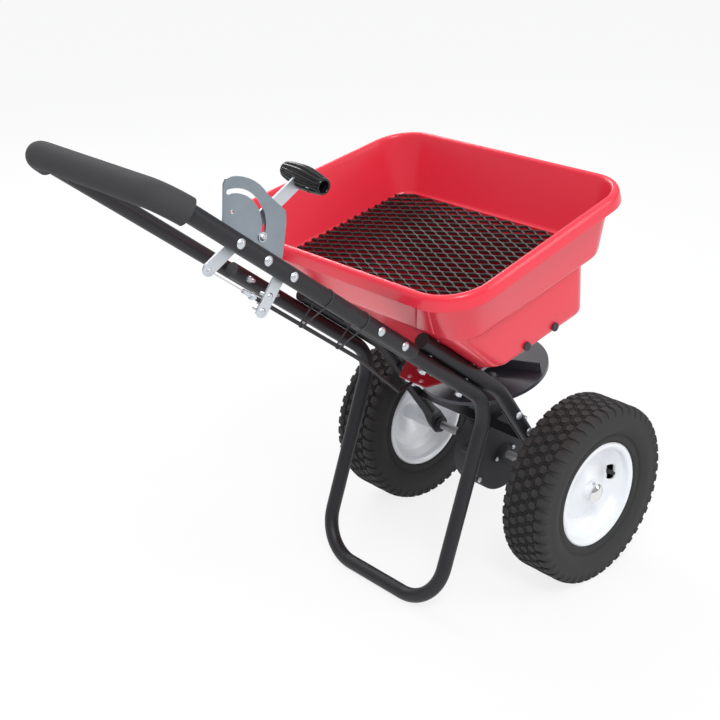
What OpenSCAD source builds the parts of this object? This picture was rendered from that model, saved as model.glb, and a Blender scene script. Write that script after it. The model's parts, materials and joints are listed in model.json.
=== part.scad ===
// Walk-behind broadcast spreader, parked on its two tyres and its floor bar.
// Millimetres. +X is the direction of travel, +Y the operator's left, +Z up, the floor is z = 0.

/* [Wheels] */
// Tyre radius over the tread
tyre_r = 165; // [158:1:168]
// Half of the tyre's widest section
tyre_half_w = 47; // [42:1:50]
// Half of the flat tread
tread_half_w = 36; // [34:1:38]
// Distance between the two wheel centre planes
track = 420; // [410:1:430]
// Radius of the rim flange
rim_r = 95; // [90:1:97]
// Half width over the rim flanges
rim_half_w = 37; // [34:1:40]
// Rim sheet thickness
rim_t = 2.5; // [2:0.1:3]
// Hub tube outside radius
hub_r = 15; // [13:0.5:18]
// Axle radius
axle_r = 7.95; // [7:0.05:8.5]

/* [Parked pose] */
// How far the hopper leans back when parked
park_tilt = 12.7; // [11:0.1:14]
// Slope of the rails below horizontal when parked
rail_angle = 37; // [35:0.5:39]
// Rail reference point ahead of the axle line
rail_x0 = -361.8; // [-366:0.1:-358]
// Rail reference point above the floor
rail_z0 = 500; // [496:0.5:504]
// X of the origin of the whole part behind the axle
datum_x = 326.97; // [320:0.01:335]

/* [Frame tubes] */
// Tube radius, one inch tube
tube_r = 12.7; // [11:0.1:13.5]
// Tube wall
tube_t = 1.6; // [1.2:0.1:2.2]
// Half distance between the leg tubes
leg_half = 141; // [138:0.5:144]
// Gap between tubes bolted side by side
tube_gap = 0.3; // [0.2:0.05:0.5]
// Where the leg tube ends along the rail
leg_end_s = 150; // [140:1:160]
// Where the leg turns down
leg_bend_x = -181; // [-186:1:-176]
// Floor bar position behind the axle
floor_bar_x = -298.8; // [-305:0.1:-292]
// Centre line bend radius of the leg
leg_bend_r = 65; // [55:1:75]
// Bend radius of the floor bar corners
foot_bend_r = 75; // [66:1:84]
// Where the support tube starts along the rail
support_end_s = -11; // [-20:1:0]
// Where the support tube turns down to the axle
support_bend_s = -240; // [-246:1:-234]
// Support tube bend radius
support_bend_r = 90; // [70:1:110]

/* [Handle] */
// Lower end of the handle tube along the rail
handle_low_s = 34; // [28:1:40]
// Cross bar position along the rail
handle_top_s = 548; // [540:1:556]
// Handle corner bend radius
handle_bend_r = 46; // [42:1:52]
// Foam grip radius
grip_r = 19.5; // [17:0.5:21]
// How far round each corner the foam stops short of the rail
grip_skip = 16; // [10:1:24]

/* [Hopper] */
// Height of the rim above the axle
rim_z = 546; // [540:1:552]
// Inside of the rim, front
rim_front = 118; // [114:1:122]
// Inside of the rim, rear
rim_rear = -298; // [-302:1:-294]
// Half width inside the rim at the front
rim_half_front = 253; // [248:1:256]
// Half width inside the rim at the rear
rim_half_rear = 271; // [266:1:274]
// Corner radius of the rim
rim_corner = 62; // [52:1:70]
// Height of the step above the axle
step_z = 440; // [436:1:444]
// Height of the lower box's bottom edge
box_z = 349; // [345:1:353]
// Height of the hopper's bottom opening
funnel_z = 244; // [243:0.5:246]
// Hopper wall
wall = 3.2; // [2.6:0.1:4]
// Width of the rolled lip
lip_w = 13; // [11:0.5:15]
// Height of the lip's skirt
lip_h = 23; // [20:0.5:26]

/* [Spreading gear] */
// Impeller radius
impeller_r = 118; // [112:1:122]
// Impeller height above the axle
impeller_z = 184; // [180:1:188]
// Vane height
vane_h = 20; // [16:1:24]
// Output shaft radius
shaft_r = 5; // [4.5:0.1:5.5]
// Crown gear teeth
crown_teeth = 45; // [45:9:45]
// Pinion teeth
pinion_teeth = 9; // [9:1:9]
// Gear tooth pitch along the pitch line
tooth_pitch = 8.378; // [8.378:0.001:8.378]
// Gear case radius round the axle
case_r = 73; // [71:0.5:75]
// Case wall
case_t = 2.5; // [2:0.1:3]
// Half width of the case on the right
case_right = 25; // [23:0.5:27]
// Half width of the case on the left
case_left = 31; // [29:0.5:33]

/* [Rate control] */
// Radius of the slot's arc
slot_arc_r = 51.3; // [50:0.1:53]
// Slot width
slot_w = 6.6; // [6.2:0.1:7]
// Lever width
lever_w = 19; // [17:0.5:20]
// Lever thickness
lever_t = 3; // [2.5:0.1:3.5]
// Lever pivot to the knob
lever_up = 133.2; // [128:0.1:138]
// Lever pivot to the wire
lever_down = 48.9; // [46:0.1:50]
// Knob length
knob_len = 80; // [76:1:86]
// Knob radius at the middle
knob_r = 16.5; // [16:0.5:18]
// Travel of the wire and the shutoff plate
wire_travel = 38.9; // [36:0.1:40]
// Control cable radius
cable_r = 3; // [2.6:0.1:3.4]
// Control wire radius
wire_r = 1; // [0.8:0.1:1.2]

/* [Clearances] */
// Radial running clearance
run_gap = 0.08; // [0.04:0.01:0.1]
// Gap between parts that lie on each other
seat_gap = 0.3; // [0.2:0.05:0.4]
// Bolt hole clearance
hole_gap = 0.1; // [0.05:0.01:0.2]

/* [Hidden] */
$fn = 48;
lap = 0.3;
lap_step = 0.03;
bolt_r = 3;
head_r = 7;
head_h = 3.5;
nut_r = 5.8;
nut_h = 5;
half_track = track / 2;
handle_half = leg_half + 2 * tube_r + tube_gap;
support_n = 2 * tube_r + tube_gap;
red = [0.83, 0.05, 0.1];
black = [0.07, 0.07, 0.08];
zinc = [0.66, 0.7, 0.74];
steel = [0.75, 0.76, 0.78];
rubber = [0.05, 0.05, 0.055];
white = [0.92, 0.93, 0.95];

// Frames. Parked: origin under the axle. Body: axle centre, leaning with the hopper.
// Rail: first axis up the handle, second to the operator's right, third square to the rail.
module parked() { translate([datum_x, 0, 0]) children(); }
module body_frame() { parked() translate([0, 0, tyre_r]) rotate([0, -park_tilt, 0]) children(); }
module rail_frame() { parked() translate([rail_x0, 0, rail_z0]) rotate([0, -rail_angle, 180]) children(); }
module both_sides() { children(); mirror([0, 1, 0]) children(); }

// A point of the rail frame in the parked frame, and a body point in the parked frame
function rail_pt(s, y, n) = [rail_x0 - s * cos(rail_angle) + n * sin(rail_angle), -y,
    rail_z0 + s * sin(rail_angle) + n * cos(rail_angle)];
function body_pt(x, y, z) = [x * cos(park_tilt) - z * sin(park_tilt), y,
    tyre_r + x * sin(park_tilt) + z * cos(park_tilt)];
function unit(v) = v / norm(v);

// Turn the first, second and third axes to e1, cross(e3, e1) and e3
module to_axes(e1, e3) {
    e2 = cross(e3, e1);
    rotate([atan2(e2.z, e3.z), asin(-e1.z), atan2(e1.y, e1.x)]) children();
}

// Straight run of round tube from p to q, its facets lined up with w; t = 0 makes it solid
module run(p, q, w, r, t) {
    u = unit(q - p);
    translate(p) to_axes(unit(w - u * (u * w)), u) difference() {
        cylinder(h = norm(q - p), r = r);
        if (t > 0) translate([0, 0, -1]) cylinder(h = norm(q - p) + 2, r = r - t);
    }
}

// Bend at corner p from direction u to direction v, centre line radius b
module bend(p, u, v, b, r, t) {
    turn = acos(u * v);
    inward = unit(v - u * (u * v));
    sides = $fn;
    translate(p - u * b * tan(turn / 2) + inward * b) to_axes(-inward, unit(cross(u, v)))
        rotate_extrude(angle = turn, $fn = 96) translate([b, 0]) difference() {
            circle(r = r - lap_step, $fn = sides);
            if (t > 0) circle(r = r - t + lap_step, $fn = sides);
        }
}

// Round tube through the points, inner corner i bent to radius b[i]. Each straight run laps
// a little way over the bend, whose wall is a hair thinner, so the run and bend are one piece.
module bent_tube(pts, b, r, t) {
    last = len(pts) - 1;
    u = [for (i = [1:last]) unit(pts[i] - pts[i - 1])];
    cut = [for (i = [0:last]) i == 0 || i == last ? 0 : b[i] * tan(acos(u[i - 1] * u[i]) / 2)];
    for (i = [0:last - 1]) {
        w = i < last - 1 ? cross(u[i], u[i + 1]) : cross(u[i - 1], u[i]);
        from = i == 0 ? 0 : cut[i] - lap;
        to = i == last - 1 ? 0 : cut[i + 1] - lap;
        run(pts[i] + u[i] * from, pts[i + 1] - u[i] * to, w, r, t);
    }
    for (i = [1:last - 1]) bend(pts[i], u[i - 1], u[i], b[i], r, t);
}

// Domed head with its shank, head on top of z = 0, shank going down
module dome_bolt(len, r = bolt_r, hr = head_r, hh = head_h) {
    translate([0, 0, -len]) cylinder(h = len, r = r);
    sphere_r = (hr * hr + hh * hh) / (2 * hh);
    rotate_extrude() intersection() {
        translate([0, hh - sphere_r]) circle(r = sphere_r, $fn = 72);
        square([hr, hh]);
    }
}

// Hexagon nut from z = 0 down, bored for the bolt
module nut(r = nut_r, h = nut_h, bore = bolt_r + hole_gap) {
    translate([0, 0, -h]) difference() {
        cylinder(h = h, r = r, $fn = 6);
        translate([0, 0, -1]) cylinder(h = h + 2, r = bore);
    }
}

// Bar across the rail frame's second axis at (s, n)
module across(s, n) { translate([s, 0, n]) rotate([-90, 0, 0]) children(); }

// Positions shared by several parts
plate_bolt_s = [427, 373.4];
bracket_bolt_s = 320.7;
tube_bolt_s = [122, 62];
stack_bolt_s = [-42, -147];
outer_face = handle_half + tube_r;
plate_y = handle_half - tube_r - seat_gap;
plate_t = 3;
lever_y = plate_y - plate_t - nut_h - 2;
pivot_s = 406;
pivot_n = 0;
slot_cs = 428.6;
slot_cn = 11.1;
slot_a0 = 49.5;
slot_a1 = 163.6;
lever_lean = 22.5;
cable_n = -47;
bracket_y = plate_y;
bracket_t = 3;
cable_y = bracket_y - bracket_t - cable_r - 0.1;

// Hopper
corner_steps = 6;
function corner(cx, cy, r, a0) = [for (i = [0:corner_steps])
    [cx + r * cos(a0 + 90 * i / corner_steps), cy + r * sin(a0 + 90 * i / corner_steps)]];
function ring(xf, xr, wf, wr, r, z) = [for (p = concat(
    corner(xf - r, wf - r, r, 0), corner(xr + r, wr - r, r, 90),
    corner(xr + r, -wr + r, r, 180), corner(xf - r, -wf + r, r, 270))) [p.x, p.y, z]];
// Inside of the hopper at the rim, the step, the box's foot and the outlet
step_front = rim_front - 34;
step_half_front = rim_half_front - 24;
step_half_rear = rim_half_rear - 34;
rear_slope = tan(90 - rail_angle - park_tilt);
// The rear wall below the step lies on the support tubes
rest_n = support_n + tube_r + seat_gap;
rest_pt = rail_pt(0, 0, rest_n);
rest_x = rest_pt.x * cos(park_tilt) + (rest_pt.z - tyre_r) * sin(park_tilt);
rest_z = -rest_pt.x * sin(park_tilt) + (rest_pt.z - tyre_r) * cos(park_tilt);
function rear_at(z) = rest_x + (rest_z - z) * rear_slope;
slope_wall = wall / cos(90 - rail_angle - park_tilt);
box_front = 39;
box_half_top = step_half_front - 3;
box_half_low = 216;
out_front = 36;
out_half = 58;

module hopper() {
    w = wall;
    rings = [
        ring(out_front + w, rear_at(funnel_z), out_half + w, out_half + w, 14, funnel_z),
        ring(box_front + w - 3, rear_at(box_z), box_half_low + w, box_half_low + w, 26, box_z),
        ring(box_front + w, rear_at(step_z - 1), box_half_top + w, box_half_top + w, 30, step_z - 1),
        ring(step_front + w, rear_at(step_z), step_half_front + w, step_half_rear + w, 40, step_z),
        ring(rim_front + w - 4, rim_rear - w + 4, rim_half_front + w - 4, rim_half_rear + w - 4, 61, rim_z - 14),
        ring(rim_front + lip_w - w, rim_rear - lip_w + w, rim_half_front + lip_w - w, rim_half_rear + lip_w - w, 70, rim_z - 8),
        ring(rim_front + lip_w + 2 - w, rim_rear - lip_w - 2 + w, rim_half_front + lip_w + 2 - w, rim_half_rear + lip_w + 2 - w, 72, rim_z - lip_h),
        ring(rim_front + lip_w + 2, rim_rear - lip_w - 2, rim_half_front + lip_w + 2, rim_half_rear + lip_w + 2, 75, rim_z - lip_h),
        ring(rim_front + lip_w, rim_rear - lip_w, rim_half_front + lip_w, rim_half_rear + lip_w, 73, rim_z - 5),
        ring(rim_front + lip_w - 4, rim_rear - lip_w + 4, rim_half_front + lip_w - 4, rim_half_rear + lip_w - 4, 70, rim_z),
        ring(rim_front + 3, rim_rear - 3, rim_half_front + 3, rim_half_rear + 3, rim_corner + 3, rim_z),
        ring(rim_front, rim_rear, rim_half_front, rim_half_rear, rim_corner, rim_z - 4),
        ring(step_front, rear_at(step_z + w) + slope_wall, step_half_front, step_half_rear, 38, step_z + w),
        ring(box_front, rear_at(step_z + w - 1) + slope_wall, box_half_top, box_half_top, 28, step_z + w - 1),
        ring(box_front - 3, rear_at(box_z + 2) + slope_wall, box_half_low, box_half_low, 24, box_z + 2),
        ring(out_front, rear_at(funnel_z) + slope_wall, out_half, out_half, 12, funnel_z)];
    m = len(rings);
    k = len(rings[0]);
    pts = [for (g = rings) each g];
    faces = [for (i = [0:m - 1]) for (j = [0:k - 1]) each
        let (a = i * k + j, b = i * k + (j + 1) % k, c = ((i + 1) % m) * k + (j + 1) % k, d = ((i + 1) % m) * k + j)
        [[a, c, b], [a, d, c]]];
    color(red) difference() {
        body_frame() polyhedron(points = pts, faces = faces);
        rail_frame() both_sides() for (s = stack_bolt_s)
            translate([s, leg_half, 0]) cylinder(h = 80, r = bolt_r + hole_gap);
        body_frame() both_sides() plug_places() rotate([-90, 0, 0])
            cylinder(h = 60, r = plug_r + hole_gap, center = true);
    }
}

// Hopper plugs
plug_r = 5;
plug_z = box_z + 8;
plug_x = [-112, -44];
side_lean = (box_half_top - box_half_low) / (step_z - box_z);
plug_seat = side_lean * (plug_z - box_z + plug_r + 2.2) + 0.23;
module plug_places() {
    for (x = plug_x)
        translate([x, box_half_low + wall, plug_z]) children();
}
module hopper_plugs() {
    color(black) body_frame() both_sides() plug_places() rotate([-90, 0, 0]) {
        translate([0, 0, plug_seat]) cylinder(h = 3, r = plug_r + 2.2);
        translate([0, 0, -7]) cylinder(h = plug_seat + 7, r = plug_r);
    }
}

// Screen
mesh_x = 26;
mesh_y = 56;
mesh_t = 2;
screen_z = step_z + wall + seat_gap;
module hopper_screen() {
    gap = 2.5;
    xf = step_front - gap;
    xr = rear_at(screen_z) + slope_wall + gap + 2;
    wf = step_half_front - gap;
    wr = step_half_rear - gap;
    strand = 2.4;
    color(black) body_frame() translate([0, 0, screen_z]) linear_extrude(height = mesh_t)
        difference() {
            screen_outline(xf, xr, wf, wr);
            intersection() {
                screen_inner(xf - 5, xr + 5, wf - 5, wr - 5);
                union() for (i = [0:13]) for (j = [-5:4]) for (h = [0, 1])
                    translate([xr + mesh_x * (i + h / 2), mesh_y * (j + 0.5 + h / 2)])
                        polygon([[-mesh_x / 2 + strand, 0], [0, mesh_y / 2 - 2 * strand],
                            [mesh_x / 2 - strand, 0], [0, -mesh_y / 2 + 2 * strand]]);
            }
        }
}
module screen_outline(xf, xr, wf, wr) {
    c = 26;
    polygon([[xf - c, wf], [xf, wf - c], [xf, c - wf], [xf - c, -wf], [xr + c, -wr], [xr, c - wr],
        [xr, wr - c], [xr + c, wr]]);
}
module screen_inner(xf, xr, wf, wr) { screen_outline(xf, xr, wf, wr); }

// Outlet
out_plate_t = 3;
out_plate_z = funnel_z - seat_gap - out_plate_t;
tongue_x = -168;
plate_half = 73;
tongue_bolt = [[-159, 14], [-134.5, 15]];
port_x = -58;
port_r = 15;
module outlet_outline() {
    polygon([[tongue_x, 31], [tongue_x, -31], [-137, -49], [-105, -plate_half], [46, -plate_half], [46, plate_half],
        [-105, plate_half], [-137, 49]]);
}
module ports() {
    for (y = [-34, 0, 34])
        translate([port_x, y]) circle(r = port_r);
}
module tongue_bolt_places() {
    for (p = tongue_bolt) for (m = [-1, 1])
        translate([p.x, m * p.y, out_plate_z + out_plate_t]) children();
}
module outlet_plate() {
    color([0.45, 0.05, 0.1]) body_frame() difference() {
        translate([0, 0, out_plate_z]) linear_extrude(height = out_plate_t) outlet_outline();
        translate([0, 0, out_plate_z - 1]) linear_extrude(height = out_plate_t + 2) ports();
        translate([0, 0, out_plate_z - 1]) cylinder(h = 9, r = bush_r + hole_gap);
        tongue_bolt_places() cylinder(h = 20, r = 2.5 + hole_gap, center = true);
        guide_bolt_places() cylinder(h = 20, r = 2.5 + hole_gap, center = true);
    }
}

// Slide and guides
slide_t = 2.5;
slide_z = out_plate_z - seat_gap - slide_t;
guide_bolt = [-85, 28];
guide_from = -98;
guide_to = 42;
guide_y = 67.5;
slide_half = 54;
slide_from = -118;
slide_to = 6;
tab_half = 11;
notch_half = 10.5;
module guide_bolt_places() {
    for (x = guide_bolt) for (m = [-1, 1])
        translate([x, m * guide_y, out_plate_z + out_plate_t]) children();
}
module slide_guides() {
    foot_z = slide_z - seat_gap - 2;
    color(zinc) body_frame() both_sides() difference() {
        translate([guide_from, slide_half + seat_gap, foot_z]) union() {
            cube([guide_to - guide_from, plate_half - slide_half - seat_gap, out_plate_z - foot_z - 0.05]);
            translate([0, -6, 0]) cube([guide_to - guide_from, 7, 2]);
        }
        for (x = guide_bolt)
            translate([x, guide_y, slide_z - 10]) cylinder(h = 30, r = 2.5 + hole_gap);
    }
}
tab_x = -143;
module shutoff_plate() {
    color(zinc) body_frame() difference() {
        union() {
            translate([0, 0, slide_z]) linear_extrude(height = slide_t) difference() {
                union() {
                    translate([slide_from, -slide_half]) square([slide_to - slide_from, 2 * slide_half]);
                    translate([tab_x, -tab_half]) square([slide_from - tab_x + 1, 2 * tab_half]);
                }
                ports();
                translate([-wire_travel, 0]) circle(r = notch_half);
                translate([-wire_travel, -notch_half]) square([wire_travel + 20, 2 * notch_half]);
            }
            translate([tab_x, -tab_half, slide_z - 12]) cube([2.5, 2 * tab_half, 12.5]);
        }
        translate([tab_x - 1, cable_low_y, cable_low_z]) rotate([0, 90, 0]) cylinder(h = 6, r = wire_r + hole_gap);
        translate([tab_x + 2.5, cable_low_y - 3.5, slide_z - 1]) cube([10, 7, 5]);
    }
}

// Shaft bush
bush_r = 9;
module shaft_bush() {
    color([0.85, 0.83, 0.78]) body_frame() difference() {
        union() {
            translate([0, 0, slide_z + 0.5]) cylinder(h = out_plate_z + out_plate_t - slide_z + 1, r = bush_r);
            translate([0, 0, out_plate_z + out_plate_t + 0.05]) cylinder(h = 3, r = 13);
        }
        translate([0, 0, slide_z - 5]) cylinder(h = 30, r = shaft_r + run_gap);
    }
}

// Impeller
module impeller() {
    color(black) body_frame() translate([0, 0, impeller_z]) difference() {
        union() {
            rotate_extrude($fn = 96) polygon([[0, -2.4], [impeller_r - 2.4, -2.4], [impeller_r - 2.4, -7],
                [impeller_r, -7], [impeller_r, 0], [0, 0]]);
            translate([0, 0, -16]) cylinder(h = 40, r = 13);
            for (a = [0:90:270]) rotate([0, 0, a + 20])
                translate([24, -1.25, 0]) cube([impeller_r - 30, 2.5, vane_h]);
            for (a = [0:90:270]) rotate([0, 0, a + 20])
                translate([12, -1.25, 0]) cube([14, 2.5, 12]);
        }
        translate([0, 0, -20]) cylinder(h = 60, r = shaft_r + hole_gap);
        rotate([90, 0, 0]) translate([0, -10, 0]) cylinder(h = 40, r = 2 + hole_gap, center = true);
    }
}

// Output shaft with its impeller pin
shaft_low = 30;
shaft_top = 292;
agitator_z = 268;
module output_shaft() {
    color(steel) body_frame() difference() {
        union() {
            translate([0, 0, shaft_low]) cylinder(h = shaft_top - shaft_low, r = shaft_r);
            translate([0, 0, impeller_z - 10]) rotate([90, 0, 0]) cylinder(h = 24, r = 2, center = true);
        }
        translate([0, 0, agitator_z]) rotate([0, 90, 0]) cylinder(h = 20, r = 2.5 + hole_gap, center = true);
    }
}

// Agitator
module agitator() {
    color(zinc) body_frame() translate([0, 0, agitator_z]) {
        rotate([0, 90, 0]) cylinder(h = 56, r = 2.5, center = true);
        for (m = [-1, 1])
            translate([m * 28, 0, -12]) cylinder(h = 26, r = 2.5);
    }
}

// Gears
crown_pitch_r = tooth_pitch * crown_teeth / (2 * 3.14159265);
pin_pitch_r = tooth_pitch * pinion_teeth / (2 * 3.14159265);
tooth_w = 1.7;
module pinion() {
    color(zinc) body_frame() difference() {
        translate([0, 0, crown_pitch_r - 5]) union() {
            cylinder(h = 10, r = pin_pitch_r - 2);
            for (i = [0:pinion_teeth - 1]) rotate([0, 0, 90 + i * 360 / pinion_teeth])
                translate([pin_pitch_r - 3, -tooth_w / 2, 0]) cube([5, tooth_w, 10]);
            translate([0, 0, 10]) cylinder(h = 8, r = 8.5);
        }
        translate([0, 0, 20]) cylinder(h = 80, r = shaft_r + hole_gap);
    }
}
crown_face = pin_pitch_r + 2.4;
module crown_gear() {
    color(zinc) body_frame() difference() {
        union() {
            translate([0, crown_face, 0]) rotate([-90, 0, 0]) cylinder(h = 6, r = crown_pitch_r + 5, $fn = 96);
            translate([0, crown_face - 1, 0]) rotate([-90, 0, 0]) cylinder(h = 14, r = 15);
            for (i = [0:crown_teeth - 1]) rotate([0, (i + 0.5) * 360 / crown_teeth, 0])
                translate([-tooth_w / 2, crown_face - 3.6, crown_pitch_r - 4]) cube([tooth_w, 4, 8]);
        }
        rotate([90, 0, 0]) cylinder(h = 200, r = axle_r + hole_gap, center = true);
        translate([0, crown_face + 10, 0]) cylinder(h = 60, r = 2 + hole_gap, center = true);
    }
}

// Gear case
tower_r = 24;
case_top = 90;
sleeve_left = 84;
sleeve_right = 36;
sleeve_r = 14;
split_y = -4;
cap_screw_x = [-23, 23];
module cap_screw_places() {
    for (x = cap_screw_x) translate([x, -case_right - 5, 0]) rotate([90, 0, 0]) children();
}
module case_shape(g) {
    // g shrinks the shape, for the hollow inside
    translate([0, -case_right + g, 0]) rotate([-90, 0, 0]) cylinder(h = case_left + case_right - 2 * g, r = case_r - g, $fn = 96);
    translate([0, 0, 20]) cylinder(h = case_top - 20 - g, r = tower_r - g);
    translate([-tower_r + g, -case_right + g, 0]) cube([2 * (tower_r - g), case_left + case_right - 2 * g, case_top - 8 - g]);
}
module gear_case() {
    difference() {
        union() {
            case_shape(0);
            translate([0, case_left - 1, 0]) rotate([-90, 0, 0]) cylinder(h = sleeve_left - case_left + 1, r = sleeve_r);
            translate([0, -sleeve_right, 0]) rotate([-90, 0, 0]) cylinder(h = 20, r = sleeve_r);
            translate([0, 0, case_top - 2]) cylinder(h = 8, r = 25);
            translate([-26, -34, case_top - 9]) cube([52, 68, 7]);
            translate([0, -case_right - 5, 0]) rotate([-90, 0, 0]) {
                cylinder(h = 6, r = 17);
                for (x = cap_screw_x) translate([x, 0, 0]) cylinder(h = 6, r = 6);
                translate([cap_screw_x[0], -5.97, 0]) cube([cap_screw_x[1] - cap_screw_x[0], 11.94, 6]);
            }
        }
        case_shape(case_t);
        rotate([90, 0, 0]) cylinder(h = 400, r = axle_r + run_gap, center = true);
        translate([0, 0, 40]) cylinder(h = 90, r = shaft_r + run_gap);
    }
}
module case_half(left) {
    color(black) body_frame() difference() {
        union() {
            intersection() {
                gear_case();
                translate([-100, left ? split_y + 0.05 : -200, -100]) cube([200, left ? 300 : 200 + split_y - 0.05, 220]);
            }
            intersection() {
                case_bosses();
                translate([-100, left ? split_y + 0.05 : -case_right, -100]) cube([200, left ? 16 : case_right + split_y - 0.05, 220]);
            }
        }
        case_bolt_places() cylinder(h = 80, r = 2.5 + hole_gap, center = true);
        if (!left) cap_screw_places() cylinder(h = 20, r = 2 + hole_gap, center = true);
    }
}
module case_bosses() {
    for (p = case_ring) translate([p.x, 0, p.y]) rotate([90, 0, 0]) cylinder(h = 2 * case_right, r = 6, center = true);
}
case_ring = [for (p = [[28, 3], [152, 3], [197, -0.8], [343, -0.8]]) (case_r + p.y) * [cos(p.x), sin(p.x)]];
module case_bolt_places() {
    for (p = case_ring)
        translate([p.x, -case_right, p.y]) rotate([90, 0, 0]) children();
}
module gearbox_case_left() { case_half(true); }
module gearbox_case_right() { case_half(false); }
module gearbox_bolts() {
    color(zinc) body_frame() {
        case_bolt_places() dome_bolt(case_right + 14, 2.5, 5, 2.5);
        cap_screw_places() dome_bolt(8.5, 2, 4, 2.5);
    }
}

// Axle
axle_half = half_track + 34;
pin_y = -(half_track + 23.2);
module axle() {
    color(steel) parked() translate([0, 0, tyre_r]) difference() {
        rotate([90, 0, 0]) cylinder(h = 2 * axle_half, r = axle_r, center = true);
        translate([0, pin_y, 0]) cylinder(h = 60, r = 2.5 + hole_gap, center = true);
        rotate([0, -park_tilt, 0]) translate([0, crown_face + 10, 0]) cylinder(h = 60, r = 2 + hole_gap, center = true);
    }
}
module drive_pin() {
    color(zinc) parked() translate([0, 0, tyre_r]) {
        translate([0, pin_y, 0]) cylinder(h = 2 * hub_r + 8, r = 2.5, center = true);
        rotate([0, -park_tilt, 0]) translate([0, crown_face + 10, 0]) cylinder(h = 34, r = 2, center = true);
    }
}
bearing_r = 11;
module axle_bearing(m) {
    color(black) parked() translate([0, m * leg_half, tyre_r]) rotate([90, 0, 0]) difference() {
        union() {
            cylinder(h = 2 * (blade_t + 6), r = bearing_r, center = true);
            translate([0, 0, m * (blade_t + 2)]) cylinder(h = 4, r = bearing_r + 4, center = true);
        }
        cylinder(h = 60, r = axle_r + run_gap, center = true);
    }
}
module axle_bearing_left() { axle_bearing(1); }
module axle_bearing_right() { axle_bearing(-1); }
module axle_washers() {
    color(zinc) parked() translate([0, 0, tyre_r]) both_sides()
        translate([0, half_track + hub_in - 2.5, 0]) rotate([-90, 0, 0]) difference() {
            cylinder(h = 2, r = 14);
            translate([0, 0, -1]) cylinder(h = 4, r = axle_r + run_gap);
        }
}
cap_r = 17.5;
cap_h = 8;
cap_dome_r = (cap_r * cap_r + (cap_h - 2) * (cap_h - 2)) / (2 * (cap_h - 2));
module axle_cap(m) {
    color([0.85, 0.86, 0.88]) parked() translate([0, m * (axle_half - 5), tyre_r]) rotate([-m * 90, 0, 0]) difference() {
        rotate_extrude() intersection() {
            translate([0, cap_h - cap_dome_r]) circle(r = cap_dome_r, $fn = 144);
            square([cap_r, cap_h]);
        }
        translate([0, 0, -1]) cylinder(h = 6.1, r = axle_r + 0.01);
    }
}
module axle_cap_left() { axle_cap(1); }
module axle_cap_right() { axle_cap(-1); }

// Wheels
// Each wheel is drawn with its outer face towards +Y
hub_in = leg_half + tube_r + 2.3 - half_track;
hub_out = 28;
module wheel_frame(m) {
    parked() translate([0, m * half_track, tyre_r]) rotate([0, 0, m > 0 ? 0 : 180]) children();
}
slot_px = -68.8;
slot_pz = 9.8;
slot_turn = 8.1;
// One half of the rim's section, from the flange down the dished wall to the valley by the disc
rim_face = [[rim_r - 1, rim_half_w], [rim_r - 6, rim_half_w - 0.4], [rim_r - 9.5, rim_half_w - 3],
    [rim_r - 11, rim_half_w - 13], [rim_r - 20, 11], [rim_r - 29, 3]];
rim_seat = [[rim_r - 26.5, 3 - 0.3 * rim_t], [rim_r - 17.5, 11 - 0.55 * rim_t], [rim_r - 8.7, rim_half_w - 13.5],
    [rim_r - 7.4, rim_half_w - 11], [rim_r - 7.4, rim_half_w - 4.6], [rim_r - 6.8, rim_half_w - 4],
    [rim_r - 1, rim_half_w - rim_t - 2], [rim_r + 1.5, rim_half_w - 2]];
function back(p) = [for (i = [len(p) - 1:-1:0]) p[i]];
function flip(p) = [for (q = back(p)) [q.x, -q.y]];
module rim_shape() {
    rotate([-90, 0, 0]) rotate_extrude($fn = 96) polygon(back(concat(rim_face,
        [[58, 1.3], [45, 5], [26, 14.5], [22, 16.5], [hub_r - 2, 16.5], [hub_r - 2, 16.5 - rim_t], [21.5, 16.5 - rim_t],
            [25, 14.5 - rim_t], [44.5, 5 - rim_t], [57, -1.3]],
        flip(rim_face), flip(rim_seat), rim_seat)));
    rotate([-90, 0, 0]) translate([0, 0, hub_in]) cylinder(h = hub_out - hub_in, r = hub_r);
}
module rim(m) {
    color(white) wheel_frame(m) difference() {
        rim_shape();
        rotate([90, 0, 0]) cylinder(h = 120, r = axle_r + 2.5, center = true);
        translate([slot_px, 0.4, slot_pz]) rotate([0, slot_turn, 0]) {
            for (d = [-9.5, 9.5]) translate([0, 0, d]) rotate([-90, 0, 0]) cylinder(h = 60, r = 6.5);
            translate([-6, 0, -9.5]) cube([12, 60, 19]);
        }
        if (m < 0) translate([0, -pin_y - half_track, 0]) cylinder(h = 60, r = 2.5 + hole_gap, center = true);
    }
}
module rim_left() { rim(1); }
module rim_right() { rim(-1); }
module hub_bush(m) {
    color([0.2, 0.2, 0.22]) wheel_frame(m) rotate([-90, 0, 0]) for (z = [hub_in, hub_out - 8])
        translate([0, 0, z]) difference() {
            cylinder(h = 8, r = axle_r + 2.49);
            translate([0, 0, -1]) cylinder(h = 10, r = axle_r + run_gap);
            if (m < 0) translate([0, 0, -pin_y - half_track - z]) rotate([90, 0, 0])
                cylinder(h = 40, r = 2.5 + hole_gap, center = true);
        }
}
module hub_bush_left() { hub_bush(1); }
module hub_bush_right() { hub_bush(-1); }
stem_r = 4;
module valve_stem(m) {
    color(rubber) wheel_frame(m) translate([slot_px + 0.9, 0.45, slot_pz]) rotate([-90, 0, 0]) {
        cylinder(h = 2, r = stem_r + 0.8);
        cylinder(h = 12, r = stem_r);
        translate([0, 0, 12]) cylinder(h = 4, r = stem_r - 1);
    }
}
module valve_stem_left() { valve_stem(1); }
module valve_stem_right() { valve_stem(-1); }
lug_count = 48;
lug_gap = 5.5;
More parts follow.
